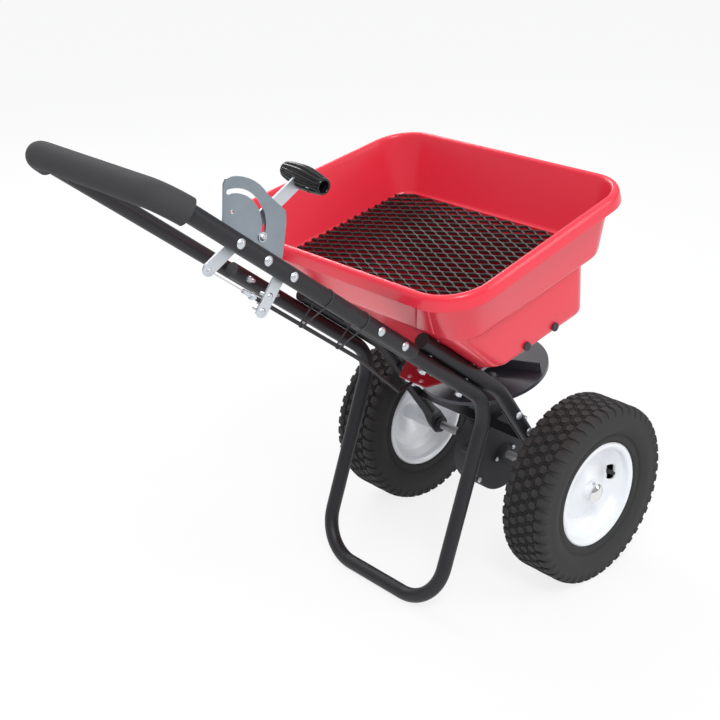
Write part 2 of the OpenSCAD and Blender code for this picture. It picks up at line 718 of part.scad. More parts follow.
// Half of the tread from the shoulder to the middle rib
tread = [[tyre_r - 6, tread_half_w + 5], [tyre_r - 1, tread_half_w - 1], [tyre_r - 0.4, 26.6], [tyre_r - 1.6, 25.6],
    [tyre_r - 1.6, 5], [tyre_r, 4]];
module tyre(m) {
    bead = rim_r - 7.1;
    color(rubber) wheel_frame(m) difference() {
        rotate([-90, 0, 0]) rotate_extrude($fn = 96) difference() {
            polygon(concat(
                [[bead, rim_half_w - 6], [rim_r + 2, rim_half_w - 5], [rim_r + 10, rim_half_w + 3]],
                [for (a = [-30:15:45]) [122 + 25 * sin(a) + 10, tyre_half_w - 22 + 22 * cos(a)]],
                tread, [for (i = [len(tread) - 1:-1:0]) [tread[i].x, -tread[i].y]],
                [for (a = [45:-15:-30]) [122 + 25 * sin(a) + 10, -tyre_half_w + 22 - 22 * cos(a)]],
                [[rim_r + 10, -rim_half_w - 3], [rim_r + 2, 5 - rim_half_w], [bead, 6 - rim_half_w]]));
            polygon([[bead - 1, rim_half_w - 12], [rim_r + 8, rim_half_w - 8], [132, tyre_half_w - 8], [148, 30],
                [152, 0], [148, -30], [132, 8 - tyre_half_w], [rim_r + 8, 8 - rim_half_w], [bead - 1, 12 - rim_half_w]]);
        }
        for (n = [0:lug_count - 1]) rotate([0, (n + 0.5) * 360 / lug_count, 0]) for (k = [-1, 1])
            translate([-lug_gap / 2, k * 38 - 10, tyre_r - 4]) cube([lug_gap, 20, 10]);
    }
}
module tyre_left() { tyre(1); }
module tyre_right() { tyre(-1); }

// Handle
handle_pts = [rail_pt(handle_low_s, handle_half, 0), rail_pt(handle_top_s, handle_half, 0),
    rail_pt(handle_top_s, -handle_half, 0), rail_pt(handle_low_s, -handle_half, 0)];
module handle_tube() {
    color(black) difference() {
        parked() bent_tube(handle_pts, [0, handle_bend_r, handle_bend_r, 0], tube_r, tube_t);
        rail_frame() {
            for (s = concat(plate_bolt_s, [bracket_bolt_s]))
                translate([s, handle_half, 0]) rotate([90, 0, 0]) cylinder(h = 40, r = bolt_r + hole_gap, center = true);
            both_sides() for (s = tube_bolt_s)
                translate([s, handle_half, 0]) rotate([90, 0, 0]) cylinder(h = 40, r = bolt_r + hole_gap, center = true);
        }
    }
}
module handle_grip() {
    // the foam starts part of the way round each corner, where the centre line runs along u
    half = tan((90 - grip_skip) / 2);
    up = unit(handle_pts[1] - handle_pts[0]);
    over = unit(handle_pts[2] - handle_pts[1]);
    u = up * cos(grip_skip) + over * sin(grip_skip);
    v = over * sin(grip_skip) - up * cos(grip_skip);
    corner_1 = handle_pts[1] + over * handle_bend_r * (1 - half);
    corner_2 = handle_pts[2] - over * handle_bend_r * (1 - half);
    reach = handle_bend_r * half + 1;
    pts = [corner_1 - u * reach, corner_1, corner_2, corner_2 + v * reach];
    color([0.13, 0.13, 0.15]) parked()
        bent_tube(pts, [0, handle_bend_r, handle_bend_r, 0], grip_r, grip_r - tube_r - 0.05);
}

// Leg frame
leg_top = rail_pt(leg_end_s, leg_half, 0);
bend_drop = (rail_x0 - leg_bend_x) * tan(rail_angle);
leg_pts = [leg_top, [leg_bend_x, -leg_half, rail_z0 + bend_drop], [floor_bar_x, -leg_half, tube_r],
    [floor_bar_x, leg_half, tube_r], [leg_bend_x, leg_half, rail_z0 + bend_drop], [leg_top.x, leg_half, leg_top.z]];
module leg_frame() {
    color(black) difference() {
        parked() bent_tube(leg_pts, [0, leg_bend_r, foot_bend_r, foot_bend_r, leg_bend_r, 0], tube_r, tube_t);
        rail_frame() both_sides() {
            for (s = tube_bolt_s)
                translate([s, leg_half, 0]) rotate([90, 0, 0]) cylinder(h = 40, r = bolt_r + hole_gap, center = true);
            for (s = stack_bolt_s)
                translate([s, leg_half, 0]) cylinder(h = 40, r = bolt_r + hole_gap, center = true);
        }
    }
}

// Support tubes
blade_t = 3;
blade_half = 17;
sup_top = rail_pt(support_end_s, 0, support_n);
sup_bend = rail_pt(support_bend_s, 0, support_n);
sup_axle = [0, 0, tyre_r];
sup_dir = unit(sup_axle - sup_bend);
blade_from = sup_axle - sup_dir * 48;
module support_tube(m) {
    color(black) parked() translate([0, m * leg_half, 0]) difference() {
        union() {
            bent_tube([sup_top, sup_bend, blade_from], [0, support_bend_r, 0], tube_r, tube_t);
            translate(blade_from) rotate([0, acos(sup_dir.z), 0]) {
                hull() {
                    translate([0, 0, -3]) cylinder(h = 1, r = tube_r - 0.1, $fn = 32);
                    translate([0.1 - blade_half, 0.1 - blade_t, 20]) cube([2 * blade_half - 0.2, 2 * blade_t - 0.2, 3]);
                }
                rotate([90, 0, 0]) linear_extrude(height = 2 * blade_t, center = true)
                    polygon([[-blade_half, 22], [-blade_half, 54], [-6, 66], [6, 66], [blade_half, 54], [blade_half, 22]]);
            }
        }
        translate(sup_axle) rotate([90, 0, 0]) cylinder(h = 60, r = bearing_r + hole_gap, center = true);
        translate([rail_x0, 0, rail_z0]) rotate([0, -rail_angle, 180]) for (s = stack_bolt_s)
            translate([s, 0, 0]) cylinder(h = 60, r = bolt_r + hole_gap);
        for (q = brace_bolt) translate(q) rotate([90, 0, 0]) cylinder(h = 60, r = bolt_r + hole_gap, center = true);
    }
}
module support_tube_left() { support_tube(1); }
module support_tube_right() { support_tube(-1); }
module tube_plug(r) {
    translate([0, 0, 0.05]) cylinder(h = 3, r = tube_r);
    translate([0, 0, -12]) cylinder(h = 12.05, r = r);
}
module tube_plugs() {
    r = tube_r - tube_t - 0.06;
    color(black) rail_frame() both_sides() {
        translate([support_end_s, leg_half, support_n]) rotate([0, 90, 0]) tube_plug(r);
        translate([leg_end_s, leg_half, 0]) rotate([0, 90, 0]) tube_plug(r);
        translate([handle_low_s, handle_half, 0]) rotate([0, -90, 0]) tube_plug(r);
    }
}

// Cross brace between the support tubes
brace_bolt = [sup_bend + sup_dir * 67, sup_bend + sup_dir * 116];
brace_pt = sup_bend + sup_dir * 140;
brace_in = leg_half - tube_r - seat_gap;
module cross_brace() {
    // a strap across the machine with an ear on each support tube
    color(black) parked() difference() {
        union() {
            both_sides() translate([brace_bolt[0].x, brace_in - 3, brace_bolt[0].z])
                rotate([0, acos(sup_dir.z), 0]) translate([-9, 0, -12]) cube([18, 3, 97]);
            translate([brace_pt.x, 0, brace_pt.z]) rotate([0, acos(sup_dir.z), 0])
                translate([-9, -brace_in, 5]) cube([18, 2 * brace_in, 3]);
        }
        for (q = brace_bolt) translate([q.x, 0, q.z]) rotate([90, 0, 0]) cylinder(h = 600, r = bolt_r + hole_gap, center = true);
    }
}

// Bolts and nuts of the frame
module frame_bolts() {
    color(zinc) {
        rail_frame() {
            for (s = plate_bolt_s)
                translate([s, outer_face, 0]) rotate([-90, 0, 0]) dome_bolt(2 * tube_r + seat_gap + plate_t + nut_h + 1);
            translate([bracket_bolt_s, outer_face, 0]) rotate([-90, 0, 0]) dome_bolt(2 * tube_r + seat_gap + bracket_t + nut_h + 1);
            both_sides() for (s = tube_bolt_s)
                translate([s, outer_face, 0]) rotate([-90, 0, 0]) dome_bolt(4 * tube_r + tube_gap + nut_h + 8);
            both_sides() for (s = stack_bolt_s)
                translate([s, leg_half, rest_n + slope_head]) dome_bolt(rest_n + slope_head + tube_r + nut_h + 1);
        }
        parked() both_sides() for (q = brace_bolt)
            translate([q.x, leg_half + tube_r, q.z]) rotate([-90, 0, 0]) dome_bolt(2 * tube_r + seat_gap + 3 + nut_h + 1);
    }
}
slope_head = wall + 0.1;
module frame_nuts() {
    color(zinc) {
        rail_frame() {
            for (s = plate_bolt_s)
                translate([s, plate_y - plate_t, 0]) rotate([-90, 0, 0]) nut();
            translate([bracket_bolt_s, bracket_y - bracket_t, 0]) rotate([-90, 0, 0]) nut();
            both_sides() for (s = tube_bolt_s)
                translate([s, leg_half - tube_r, 0]) rotate([-90, 0, 0]) nut();
            both_sides() for (s = stack_bolt_s)
                translate([s, leg_half, -tube_r]) nut();
        }
        parked() both_sides() for (q = brace_bolt)
            translate([q.x, brace_in - 3, q.z]) rotate([-90, 0, 0]) nut();
    }
}

// Outlet bolts
module outlet_bolts() {
    color(zinc) body_frame() {
        tongue_bolt_places() dome_bolt(out_plate_t + 12, 2.5, 5, 2.5);
        guide_bolt_places() dome_bolt(out_plate_t + 14, 2.5, 5, 2.5);
    }
}
module outlet_nuts() {
    color(zinc) body_frame() {
        guide_bolt_places() translate([0, 0, -out_plate_t - (out_plate_z - slide_z + seat_gap + 2) - 0.05]) nut(4.6, 4, 2.5 + hole_gap);
        for (m = [-1, 1]) translate([tongue_bolt[1].x, m * tongue_bolt[1].y, out_plate_z - 0.05]) nut(4.6, 4, 2.5 + hole_gap);
        for (m = [-1, 1]) translate([tongue_bolt[0].x, m * tongue_bolt[0].y, slide_z - 2.05]) nut(4.6, 4, 2.5 + hole_gap);
    }
}

// Rate plate
module arc_slot(h) {
    // in the rail frame's first and third axes, cut through the second
    translate([slot_cs, 0, slot_cn]) rotate([90, 0, 0]) {
        rotate([0, 0, slot_a0]) rotate_extrude(angle = slot_a1 - slot_a0, $fn = 96)
            translate([slot_arc_r - slot_w / 2, -h / 2]) square([slot_w, h]);
        for (a = [slot_a0, slot_a1])
            rotate([0, 0, a]) translate([slot_arc_r, 0, 0]) cylinder(h = h, r = slot_w / 2 + lap_step, center = true);
    }
}
plate_arc_r = 69.7;
module rate_plate() {
    arc = [for (a = [55:8:111]) [slot_cs + plate_arc_r * cos(a), slot_cn + plate_arc_r * sin(a)]];
    color(zinc) rail_frame() difference() {
        translate([0, plate_y, 0]) rotate([90, 0, 0]) linear_extrude(height = plate_t)
            polygon(concat([[434, -11], [451, 20], [474, 55], [474.5, 62], [470, 67.5]], arc,
                [[372.4, 72.6], [364, 71.5], [360.5, 68], [352.8, 57.3], [333, 19.5], [331.5, 14], [331.5, -11]]));
        translate([0, plate_y - plate_t / 2, 0]) arc_slot(plate_t + 2);
        translate([442.3, plate_y, 32]) rotate([90, 0, 0]) cylinder(h = 12, r = 2.6, center = true);
        for (s = plate_bolt_s) translate([s, plate_y, 0]) rotate([90, 0, 0]) cylinder(h = 12, r = bolt_r + hole_gap, center = true);
        translate([pivot_s, plate_y, pivot_n]) rotate([90, 0, 0]) cylinder(h = 12, r = pivot_r + hole_gap, center = true);
    }
}
module stop_bolt() {
    color(zinc) rail_frame() translate([slot_cs + slot_arc_r * cos(slot_a1), 0, slot_cn + slot_arc_r * sin(slot_a1)]) {
        translate([0, plate_y + 1.55, 0]) rotate([-90, 0, 0]) dome_bolt(plate_t + nut_h + 1.8, bolt_r, 5.2, 3.4);
        translate([0, plate_y + 0.05, 0]) rotate([-90, 0, 0]) cylinder(h = 1.5, r = 6.6);
        translate([0, plate_y - plate_t - 0.05, 0]) rotate([-90, 0, 0]) translate([0, 0, -nut_h + 0.5]) cylinder(h = nut_h - 0.5, r = nut_r, $fn = 6);
    }
}

// Lever
wire_slot = wire_r + 0.7;
pivot_r = 4;
module lever_pivot() {
    color(zinc) rail_frame() translate([pivot_s, 0, pivot_n]) rotate([-90, 0, 0]) {
        translate([0, 0, lever_y - lever_t - 6]) cylinder(h = plate_y - lever_y + lever_t + 6, r = pivot_r);
        translate([0, 0, lever_y + 0.1]) cylinder(h = plate_y - plate_t - lever_y - 0.15, r = 6.8);
        translate([0, 0, lever_y - lever_t - 6.1]) cylinder(h = 6, r = 7, $fn = 6);
    }
}
module lever_axes() { translate([pivot_s, lever_y, pivot_n]) rotate([0, -lever_lean, 0]) children(); }
module control_lever() {
    color(zinc) rail_frame() lever_axes() difference() {
        union() {
            translate([-lever_w / 2, -lever_t, -lever_down]) cube([lever_w, lever_t, lever_down + lever_up + 6]);
            translate([0, -lever_t, -lever_down]) rotate([-90, 0, 0]) cylinder(h = lever_t, r = lever_w / 2);
        }
        rotate([90, 0, 0]) cylinder(h = 40, r = pivot_r + run_gap, center = true);
        translate([0, 0, -lever_down]) rotate([90, 0, 0]) {
            for (d = [-2.1, 2.1]) translate([0, d, 0]) cylinder(h = 20, r = wire_slot, center = true);
            translate([-wire_slot, -2.1, -10]) cube([2 * wire_slot, 4.2, 20]);
        }
    }
}
module lever_knob() {
    color(black) rail_frame() lever_axes() translate([0, -lever_t / 2, lever_up]) difference() {
        translate([0, knob_shift, 0]) rotate([-90, 0, 0]) rotate_extrude() difference() {
            polygon([[0, -knob_len / 2], [9.5, -knob_len / 2], [11, -knob_len / 2 + 2], [knob_r - 2.2, -22],
                [knob_r - 0.4, -8], [knob_r, 0], [knob_r - 0.4, 8], [knob_r - 2.2, 22],
                [11.8, knob_len / 2 - 2], [10.5, knob_len / 2], [0, knob_len / 2]]);
            translate([0, knob_len / 2 - 22]) square([8, 30]);
        }
        for (a = [0:30:330]) rotate([0, a, 0]) translate([0, knob_shift, knob_r + 1])
            rotate([90, 0, 0]) cylinder(h = 56, r = 2.4, center = true, $fn = 16);
        translate([-lever_w / 2 - 0.05, -lever_t / 2 - 0.05, -knob_r - 5]) cube([lever_w + 0.1, lever_t + 0.1, knob_r + 11.1]);
        knob_screw_place() cylinder(h = 12, r = screw_r + hole_gap);
    }
}
screw_r = 2.6;
knob_shift = 5;
module knob_screw_place() { translate([0, 24, 4.3 - knob_r]) rotate([180, 0, 0]) children(); }
module knob_screw() {
    color(zinc) rail_frame() lever_axes() translate([0, -lever_t / 2, lever_up])
        knob_screw_place() translate([0, 0, 0.1]) cylinder(h = 2, r = screw_r);
}

// Cable
module cable_bracket() {
    color(zinc) rail_frame() difference() {
        translate([0, bracket_y, 0]) rotate([90, 0, 0]) linear_extrude(height = bracket_t) {
            translate([bracket_bolt_s - 9.5, -58]) square([19, 66]);
            translate([bracket_bolt_s, -58]) circle(r = 9.5);
        }
        for (n = [0, -36, -58]) translate([bracket_bolt_s, bracket_y, n]) rotate([90, 0, 0])
            cylinder(h = 20, r = (n == 0 ? bolt_r : 2.5) + hole_gap, center = true);
    }
}
clamp_y = bracket_y - bracket_t;
module bracket_bolts() {
    color(zinc) rail_frame() for (n = [-36, -58]) translate([bracket_bolt_s, bracket_y, n]) rotate([-90, 0, 0]) {
        dome_bolt(bracket_t + 16, 2.5, 5, 2.5);
    }
}
cable_low_y = 5;
cable_low_z = slide_z - 0.6;
mouth_x = -150;
kink = body_pt(-197, cable_low_y, cable_low_z);
mouth = body_pt(mouth_x, cable_low_y, cable_low_z);
sheath_top_s = 338;
sheath_turn_s = 108;
sheath_pts = [rail_pt(sheath_top_s, cable_y, cable_n), rail_pt(sheath_turn_s, cable_y, cable_n), kink, mouth];
module cable_sheath() {
    color([0.06, 0.06, 0.065]) parked()
        bent_tube(sheath_pts, [0, 60, 9, 0], cable_r, cable_r - wire_r - 0.25, $fn = 24);
}
module cable_adjuster() {
    color(zinc) rail_frame() translate([0, cable_y, cable_n]) rotate([0, 90, 0]) difference() {
        union() {
            translate([0, 0, sheath_top_s + 0.1]) cylinder(h = 24, r = 3.4);
            translate([0, 0, sheath_top_s + 4]) cylinder(h = 5, r = 5.5, $fn = 6);
        }
        translate([0, 0, sheath_top_s - 1]) cylinder(h = 30, r = wire_r + 0.25);
    }
}
tie_w = 4.8;
module cable_tie(s) {
    translate([s - tie_w / 2, 0, 0]) rotate([90, 0, 90]) linear_extrude(height = tie_w) difference() {
        hull() {
            translate([handle_half, 0]) circle(r = tube_r + 1.3, $fn = 32);
            translate([cable_y, cable_n]) circle(r = cable_r + 1.3, $fn = 32);
        }
        hull() {
            translate([handle_half, 0]) circle(r = tube_r + 0.1, $fn = 48);
            translate([cable_y, cable_n]) circle(r = cable_r + 0.1, $fn = 32);
        }
    }
}
module cable_ties() {
    color(black) rail_frame() for (s = [240, 156.6]) cable_tie(s);
}
module cable_saddle() {
    color(zinc) body_frame() difference() {
        union() {
            translate([tongue_bolt[0].x - 7, -20, slide_z - 2]) cube([14, 40, out_plate_z - slide_z + 2 - 0.05]);
            translate([tongue_bolt[0].x - 7, cable_low_y - 5.5, cable_low_z - 5.5]) cube([14, 9.6, out_plate_z - 0.05 - cable_low_z + 5.5]);
        }
        translate([tongue_bolt[0].x - 10, cable_low_y, cable_low_z]) rotate([0, 90, 0]) cylinder(h = 20, r = cable_r + 0.05);
        tongue_bolt_places() cylinder(h = 60, r = 2.5 + hole_gap, center = true);
    }
}
module wire_upper() {
    end_s = pivot_s - cable_n * tan(lever_lean);
    reach = cable_y + wire_r - lever_y + lever_t + 4.3;
    color(steel) rail_frame() {
        // the wire in the adjuster and sheath, then the cross end through the lever's slot
        translate([sheath_top_s - 20, cable_y, cable_n]) rotate([0, 90, 0]) cylinder(h = end_s - sheath_top_s + 20.4, r = wire_r);
        translate([end_s, lever_y - lever_t - 4, cable_n]) rotate([-90, 0, 0]) cylinder(h = reach, r = wire_r + 0.1);
    }
}
module wire_lower() {
    color(steel) body_frame() {
        translate([mouth_x - 41, cable_low_y, cable_low_z]) rotate([0, 90, 0]) cylinder(h = tab_x - mouth_x + 41 + 6, r = wire_r);
        for (x = [tab_x - 3.05, tab_x + 2.55])
            translate([x, cable_low_y, cable_low_z]) rotate([0, 90, 0]) cylinder(h = 3, r = 2.6);
    }
}
module cable_clamp() {
    // strap over the sheath, held to the bracket by the two bracket bolts
    inner = clamp_y - cable_r * 2 - 0.3;
    color(zinc) rail_frame() difference() {
        union() {
            translate([bracket_bolt_s - 7, clamp_y - 1.6, -65]) cube([14, 1.5, 36]);
            translate([bracket_bolt_s - 7, inner - 1.5, cable_n - 5]) cube([14, clamp_y - inner + 1, 10]);
        }
        translate([bracket_bolt_s, cable_y, cable_n]) rotate([0, 90, 0]) cylinder(h = 40, r = cable_r + 0.05, center = true);
        translate([bracket_bolt_s - 20, cable_y, cable_n - cable_r - 0.05]) cube([40, 20, 2 * cable_r + 0.1]);
        for (n = [-36, -58]) translate([bracket_bolt_s, bracket_y, n]) rotate([90, 0, 0])
            cylinder(h = 40, r = 2.5 + hole_gap, center = true);
    }
}
module bracket_nuts() {
    color(zinc) rail_frame() for (n = [-36, -58])
        translate([bracket_bolt_s, clamp_y - 1.65, n]) rotate([-90, 0, 0]) nut(4.6, 4, 2.5 + hole_gap);
}

hopper();
hopper_screen();
hopper_plugs();
outlet_nuts();
outlet_plate();
outlet_bolts();
slide_guides();
shutoff_plate();
shaft_bush();
impeller();
output_shaft();
agitator();
pinion();
crown_gear();
gearbox_case_left();
gearbox_case_right();
gearbox_bolts();
axle();
axle_bearing_left();
axle_bearing_right();
rim_left();
rim_right();
tyre_left();
tyre_right();
valve_stem_left();
valve_stem_right();
hub_bush_left();
hub_bush_right();
drive_pin();
axle_cap_left();
axle_cap_right();
axle_washers();
handle_tube();
handle_grip();
leg_frame();
support_tube_left();
support_tube_right();
tube_plugs();
cross_brace();
frame_bolts();
frame_nuts();
rate_plate();
stop_bolt();
control_lever();
lever_knob();
knob_screw();
lever_pivot();
cable_bracket();
bracket_bolts();
bracket_nuts();
cable_clamp();
cable_sheath();
cable_adjuster();
cable_ties();
cable_saddle();
wire_upper();
wire_lower();
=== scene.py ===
"""Dresses the walk-behind broadcast spreader: moulded hopper, expanded metal screen, studded tyres,
fluted knob and thin cable ties, materials for every part, and a plain studio round it."""
import json
import math

import bmesh
import bpy
import numpy as np
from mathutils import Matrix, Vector


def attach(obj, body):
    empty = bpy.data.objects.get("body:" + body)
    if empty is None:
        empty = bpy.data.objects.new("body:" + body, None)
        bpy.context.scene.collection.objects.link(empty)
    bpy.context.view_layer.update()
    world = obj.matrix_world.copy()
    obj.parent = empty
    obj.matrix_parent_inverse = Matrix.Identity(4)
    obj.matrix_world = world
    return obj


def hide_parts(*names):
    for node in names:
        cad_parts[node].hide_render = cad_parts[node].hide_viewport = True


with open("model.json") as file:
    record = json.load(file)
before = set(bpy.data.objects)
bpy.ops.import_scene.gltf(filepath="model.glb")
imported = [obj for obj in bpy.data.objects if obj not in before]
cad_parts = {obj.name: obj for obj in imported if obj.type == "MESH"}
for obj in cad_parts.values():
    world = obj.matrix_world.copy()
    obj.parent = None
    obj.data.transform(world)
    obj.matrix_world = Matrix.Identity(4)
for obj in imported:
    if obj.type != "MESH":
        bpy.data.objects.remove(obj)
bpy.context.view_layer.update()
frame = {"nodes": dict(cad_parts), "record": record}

bl_info = {
    "name": "Broadcast spreader",
    "version": (1, 0, 0),
    "blender": (4, 5, 0),
    "location": "View3D > Sidebar > Spreader",
    "description": "Builds the looks of a walk-behind broadcast spreader on its packed frame",
    "category": "Object",
}

MM = 0.001
# The same frames as the part's source: millimetres, a tilted hopper and a sloping rail.
DATUM_X = 326.97
AXLE_Z = 165.0
TILT = math.radians(12.7)
RAIL = math.radians(37.0)
RAIL_X0, RAIL_Z0 = -361.8, 500.0
TUBE_R, TUBE_GAP, SEAT_GAP = 12.7, 0.3, 0.3
HOPPER_WALL = 3.2
# Points closer than this, in metres, are one where a mesh is welded
WELD = 1e-7


# Points and meshes

def body_to_row(p):
    """Points in the hopper's leaning frame, in millimetres, to the row frame in metres."""
    p = np.asarray(p, float)
    x = DATUM_X + p[..., 0] * math.cos(TILT) - p[..., 2] * math.sin(TILT)
    z = AXLE_Z + p[..., 0] * math.sin(TILT) + p[..., 2] * math.cos(TILT)
    return np.stack([x, p[..., 1], z], -1) * MM


def rail_to_row(p):
    """Points (up the handle, to the operator's right, square to the rail) to the row frame in metres."""
    p = np.asarray(p, float)
    x = DATUM_X + RAIL_X0 - p[..., 0] * math.cos(RAIL) + p[..., 2] * math.sin(RAIL)
    z = RAIL_Z0 + p[..., 0] * math.sin(RAIL) + p[..., 2] * math.cos(RAIL)
    return np.stack([x, -p[..., 1], z], -1) * MM


def mesh_object(name, verts, faces, smooth=True, weld=0.0):
    """An object at the origin from vertex and face arrays; every face has the same number of corners, and
    points closer than `weld` become one."""
    mesh = bpy.data.meshes.new(name)
    verts = np.ascontiguousarray(verts, np.float32).reshape(-1, 3)
    faces = np.ascontiguousarray(faces, np.int32)
    count, sides = faces.shape
    mesh.vertices.add(len(verts))
    mesh.vertices.foreach_set("co", verts.ravel())
    mesh.loops.add(count * sides)
    mesh.loops.foreach_set("vertex_index", faces.ravel())
    mesh.polygons.add(count)
    mesh.polygons.foreach_set("loop_start", np.arange(count, dtype=np.int32) * sides)
    mesh.polygons.foreach_set("use_smooth", np.array(np.broadcast_to(smooth, count)))
    mesh.update(calc_edges=True)
    if weld:
        shell = bmesh.new()
        shell.from_mesh(mesh)
        bmesh.ops.remove_doubles(shell, verts=shell.verts, dist=weld)
        bmesh.ops.dissolve_degenerate(shell, edges=shell.edges, dist=weld)
        shell.to_mesh(mesh)
        shell.free()
    mesh.validate()
    obj = bpy.data.objects.new(name, mesh)
    bpy.context.scene.collection.objects.link(obj)
    return obj


def grid_faces(rows, cols, close_rows=False, close_cols=False, start=0, flip=False):
    """Quads of a rows by cols grid of points, wrapped round where it closes."""
    i = np.arange(rows if close_rows else rows - 1)
    j = np.arange(cols if close_cols else cols - 1)
    i, j = np.meshgrid(i, j, indexing="ij")
    i1, j1 = (i + 1) % rows, (j + 1) % cols
    quads = np.stack([i * cols + j, i * cols + j1, i1 * cols + j1, i1 * cols + j], -1).reshape(-1, 4)
    return start + (quads[:, ::-1] if flip else quads)


def end_caps(rows):
    """The two quads that close a swept bar of four-point rows."""
    last = 4 * rows - 1
    return np.array([[0, 1, 2, 3], [last, last - 1, last - 2, last - 3]])


def rounded_profile(points, reach, samples=4):
    """Rounds every corner of a closed profile: each corner is swapped for a quadratic curve that
    starts and ends up to `reach` away along its two sides. points is (profile, column, 3)."""
    before, after = np.roll(points, 1, 0), np.roll(points, -1, 0)
    reach = np.asarray(reach, float).reshape(-1, 1, 1)

    def toward(other):
        span = np.linalg.norm(other - points, axis=-1, keepdims=True)
        return points + (other - points) * np.minimum(reach / np.maximum(span, 1e-9), 0.48)

    a, b = toward(before), toward(after)
    t = np.linspace(0, 1, samples).reshape(1, -1, 1, 1)
    curve = (1 - t) ** 2 * a[:, None] + 2 * t * (1 - t) * points[:, None] + t ** 2 * b[:, None]
    return curve.reshape(-1, points.shape[1], 3)


def revolve(profile, steps):
    """Closed (radius, width) profile turned round the Y axis: (profile, steps, 3) points."""
    a = np.linspace(0, 2 * math.pi, steps, endpoint=False)
    r, w = profile[:, 0:1], profile[:, 1:2]
    return np.stack([r * np.sin(a), np.broadcast_to(w, (len(profile), steps)), r * np.cos(a)], -1)


# Materials

def new_group(name, inputs, outputs):
    """An empty node group with its sockets; inputs are (name, type, default)."""
    group = bpy.data.node_groups.new(name, "ShaderNodeTree")
    for label, kind, default in inputs:
        socket = group.interface.new_socket(label, in_out="INPUT", socket_type=kind)
        socket.default_value = default
    for label, kind in outputs:
        group.interface.new_socket(label, in_out="OUTPUT", socket_type=kind)
    return group, group.nodes.new("NodeGroupInput"), group.nodes.new("NodeGroupOutput")


def noise(tree, coords, scale, detail=4.0, rough=0.55, stretch=None):
    """A noise texture on the given coordinates, stretched where asked."""
    if stretch:
        mapping = tree.nodes.new("ShaderNodeMapping")
        mapping.inputs["Scale"].default_value = stretch
        tree.links.new(coords, mapping.inputs["Vector"])
        coords = mapping.outputs["Vector"]
    node = tree.nodes.new("ShaderNodeTexNoise")
    node.inputs["Detail"].default_value = detail
    node.inputs["Roughness"].default_value = rough
    if isinstance(scale, (int, float)):
        node.inputs["Scale"].default_value = scale
    else:
        tree.links.new(scale, node.inputs["Scale"])
    tree.links.new(coords, node.inputs["Vector"])
    return node.outputs["Fac"]


def span(tree, value, low, high, out_low=0.0, out_high=1.0):
    """Map Range from low..high to out_low..out_high; every limit is a number or a socket."""
    node = tree.nodes.new("ShaderNodeMapRange")
    for label, limit in (("From Min", low), ("From Max", high), ("To Min", out_low), ("To Max", out_high)):
        if isinstance(limit, (int, float)):
            node.inputs[label].default_value = limit
        else:
            tree.links.new(limit, node.inputs[label])
    tree.links.new(value, node.inputs["Value"])
    return node.outputs["Result"]


def maths(tree, kind, a, b):
    """A Math node on two numbers or sockets."""
    node = tree.nodes.new("ShaderNodeMath")
    node.operation = kind
    for slot, value in zip(node.inputs, (a, b)):
        if isinstance(value, (int, float)):
            slot.default_value = value
        else:
            tree.links.new(value, slot)
    return node.outputs["Value"]


def surface_group():
    """Shared unevenness: broad clouding, fine grain and sparse scuffs, and the normal they give."""
    group, given, out = new_group(
        "Uneven surface",
        [("Grain scale", "NodeSocketFloat", 900.0), ("Grain height", "NodeSocketFloat", 0.1),
         ("Scuff amount", "NodeSocketFloat", 0.3), ("Bump distance", "NodeSocketFloat", 0.0004)],
        [("Cloud", "NodeSocketFloat"), ("Grain", "NodeSocketFloat"), ("Scuff", "NodeSocketFloat"),
         ("Normal", "NodeSocketVector")])
    coords = group.nodes.new("ShaderNodeTexCoord").outputs["Object"]
    cloud = span(group, noise(group, coords, 9.0, 5.0), 0.3, 0.7)
    grain = noise(group, coords, given.outputs["Grain scale"], 3.0)
    streak = noise(group, coords, 60.0, 8.0, 0.7, (1.0, 3.5, 1.0))
    scuff = maths(group, "MULTIPLY", span(group, streak, 0.62, 0.78), given.outputs["Scuff amount"])
    wave = noise(group, coords, 28.0, 2.0)
    height = maths(group, "ADD", maths(group, "MULTIPLY", grain, given.outputs["Grain height"]),
                   maths(group, "MULTIPLY", wave, 0.35))
    bump = group.nodes.new("ShaderNodeBump")
    bump.inputs["Strength"].default_value = 0.6
    group.links.new(given.outputs["Bump distance"], bump.inputs["Distance"])
    group.links.new(height, bump.inputs["Height"])
    for label, value in (("Cloud", cloud), ("Grain", grain), ("Scuff", scuff)):
        group.links.new(value, out.inputs[label])
    group.links.new(bump.outputs["Normal"], out.inputs["Normal"])
    return group


GROUPS = {}


def blank_material(name):
    """A material with its own shader and the shared surface group, ready to be linked up."""
    if "surface" not in GROUPS:
        GROUPS["surface"] = surface_group()
    material = bpy.data.materials.new(name)
    material.use_nodes = True
    tree = material.node_tree
    shader = tree.nodes["Principled BSDF"]
    surface = tree.nodes.new("ShaderNodeGroup")
    surface.node_tree = GROUPS["surface"]
    tree.links.new(surface.outputs["Normal"], shader.inputs["Normal"])
    return material, tree, shader, surface


def tint(tree, factor, low, high):
    """A colour that runs from low to high with factor."""
    mix = tree.nodes.new("ShaderNodeMix")
    mix.data_type = "RGBA"
    mix.inputs["A"].default_value = (*low, 1.0)
    mix.inputs["B"].default_value = (*high, 1.0)
    tree.links.new(factor, mix.inputs["Factor"])
    return mix.outputs["Result"]


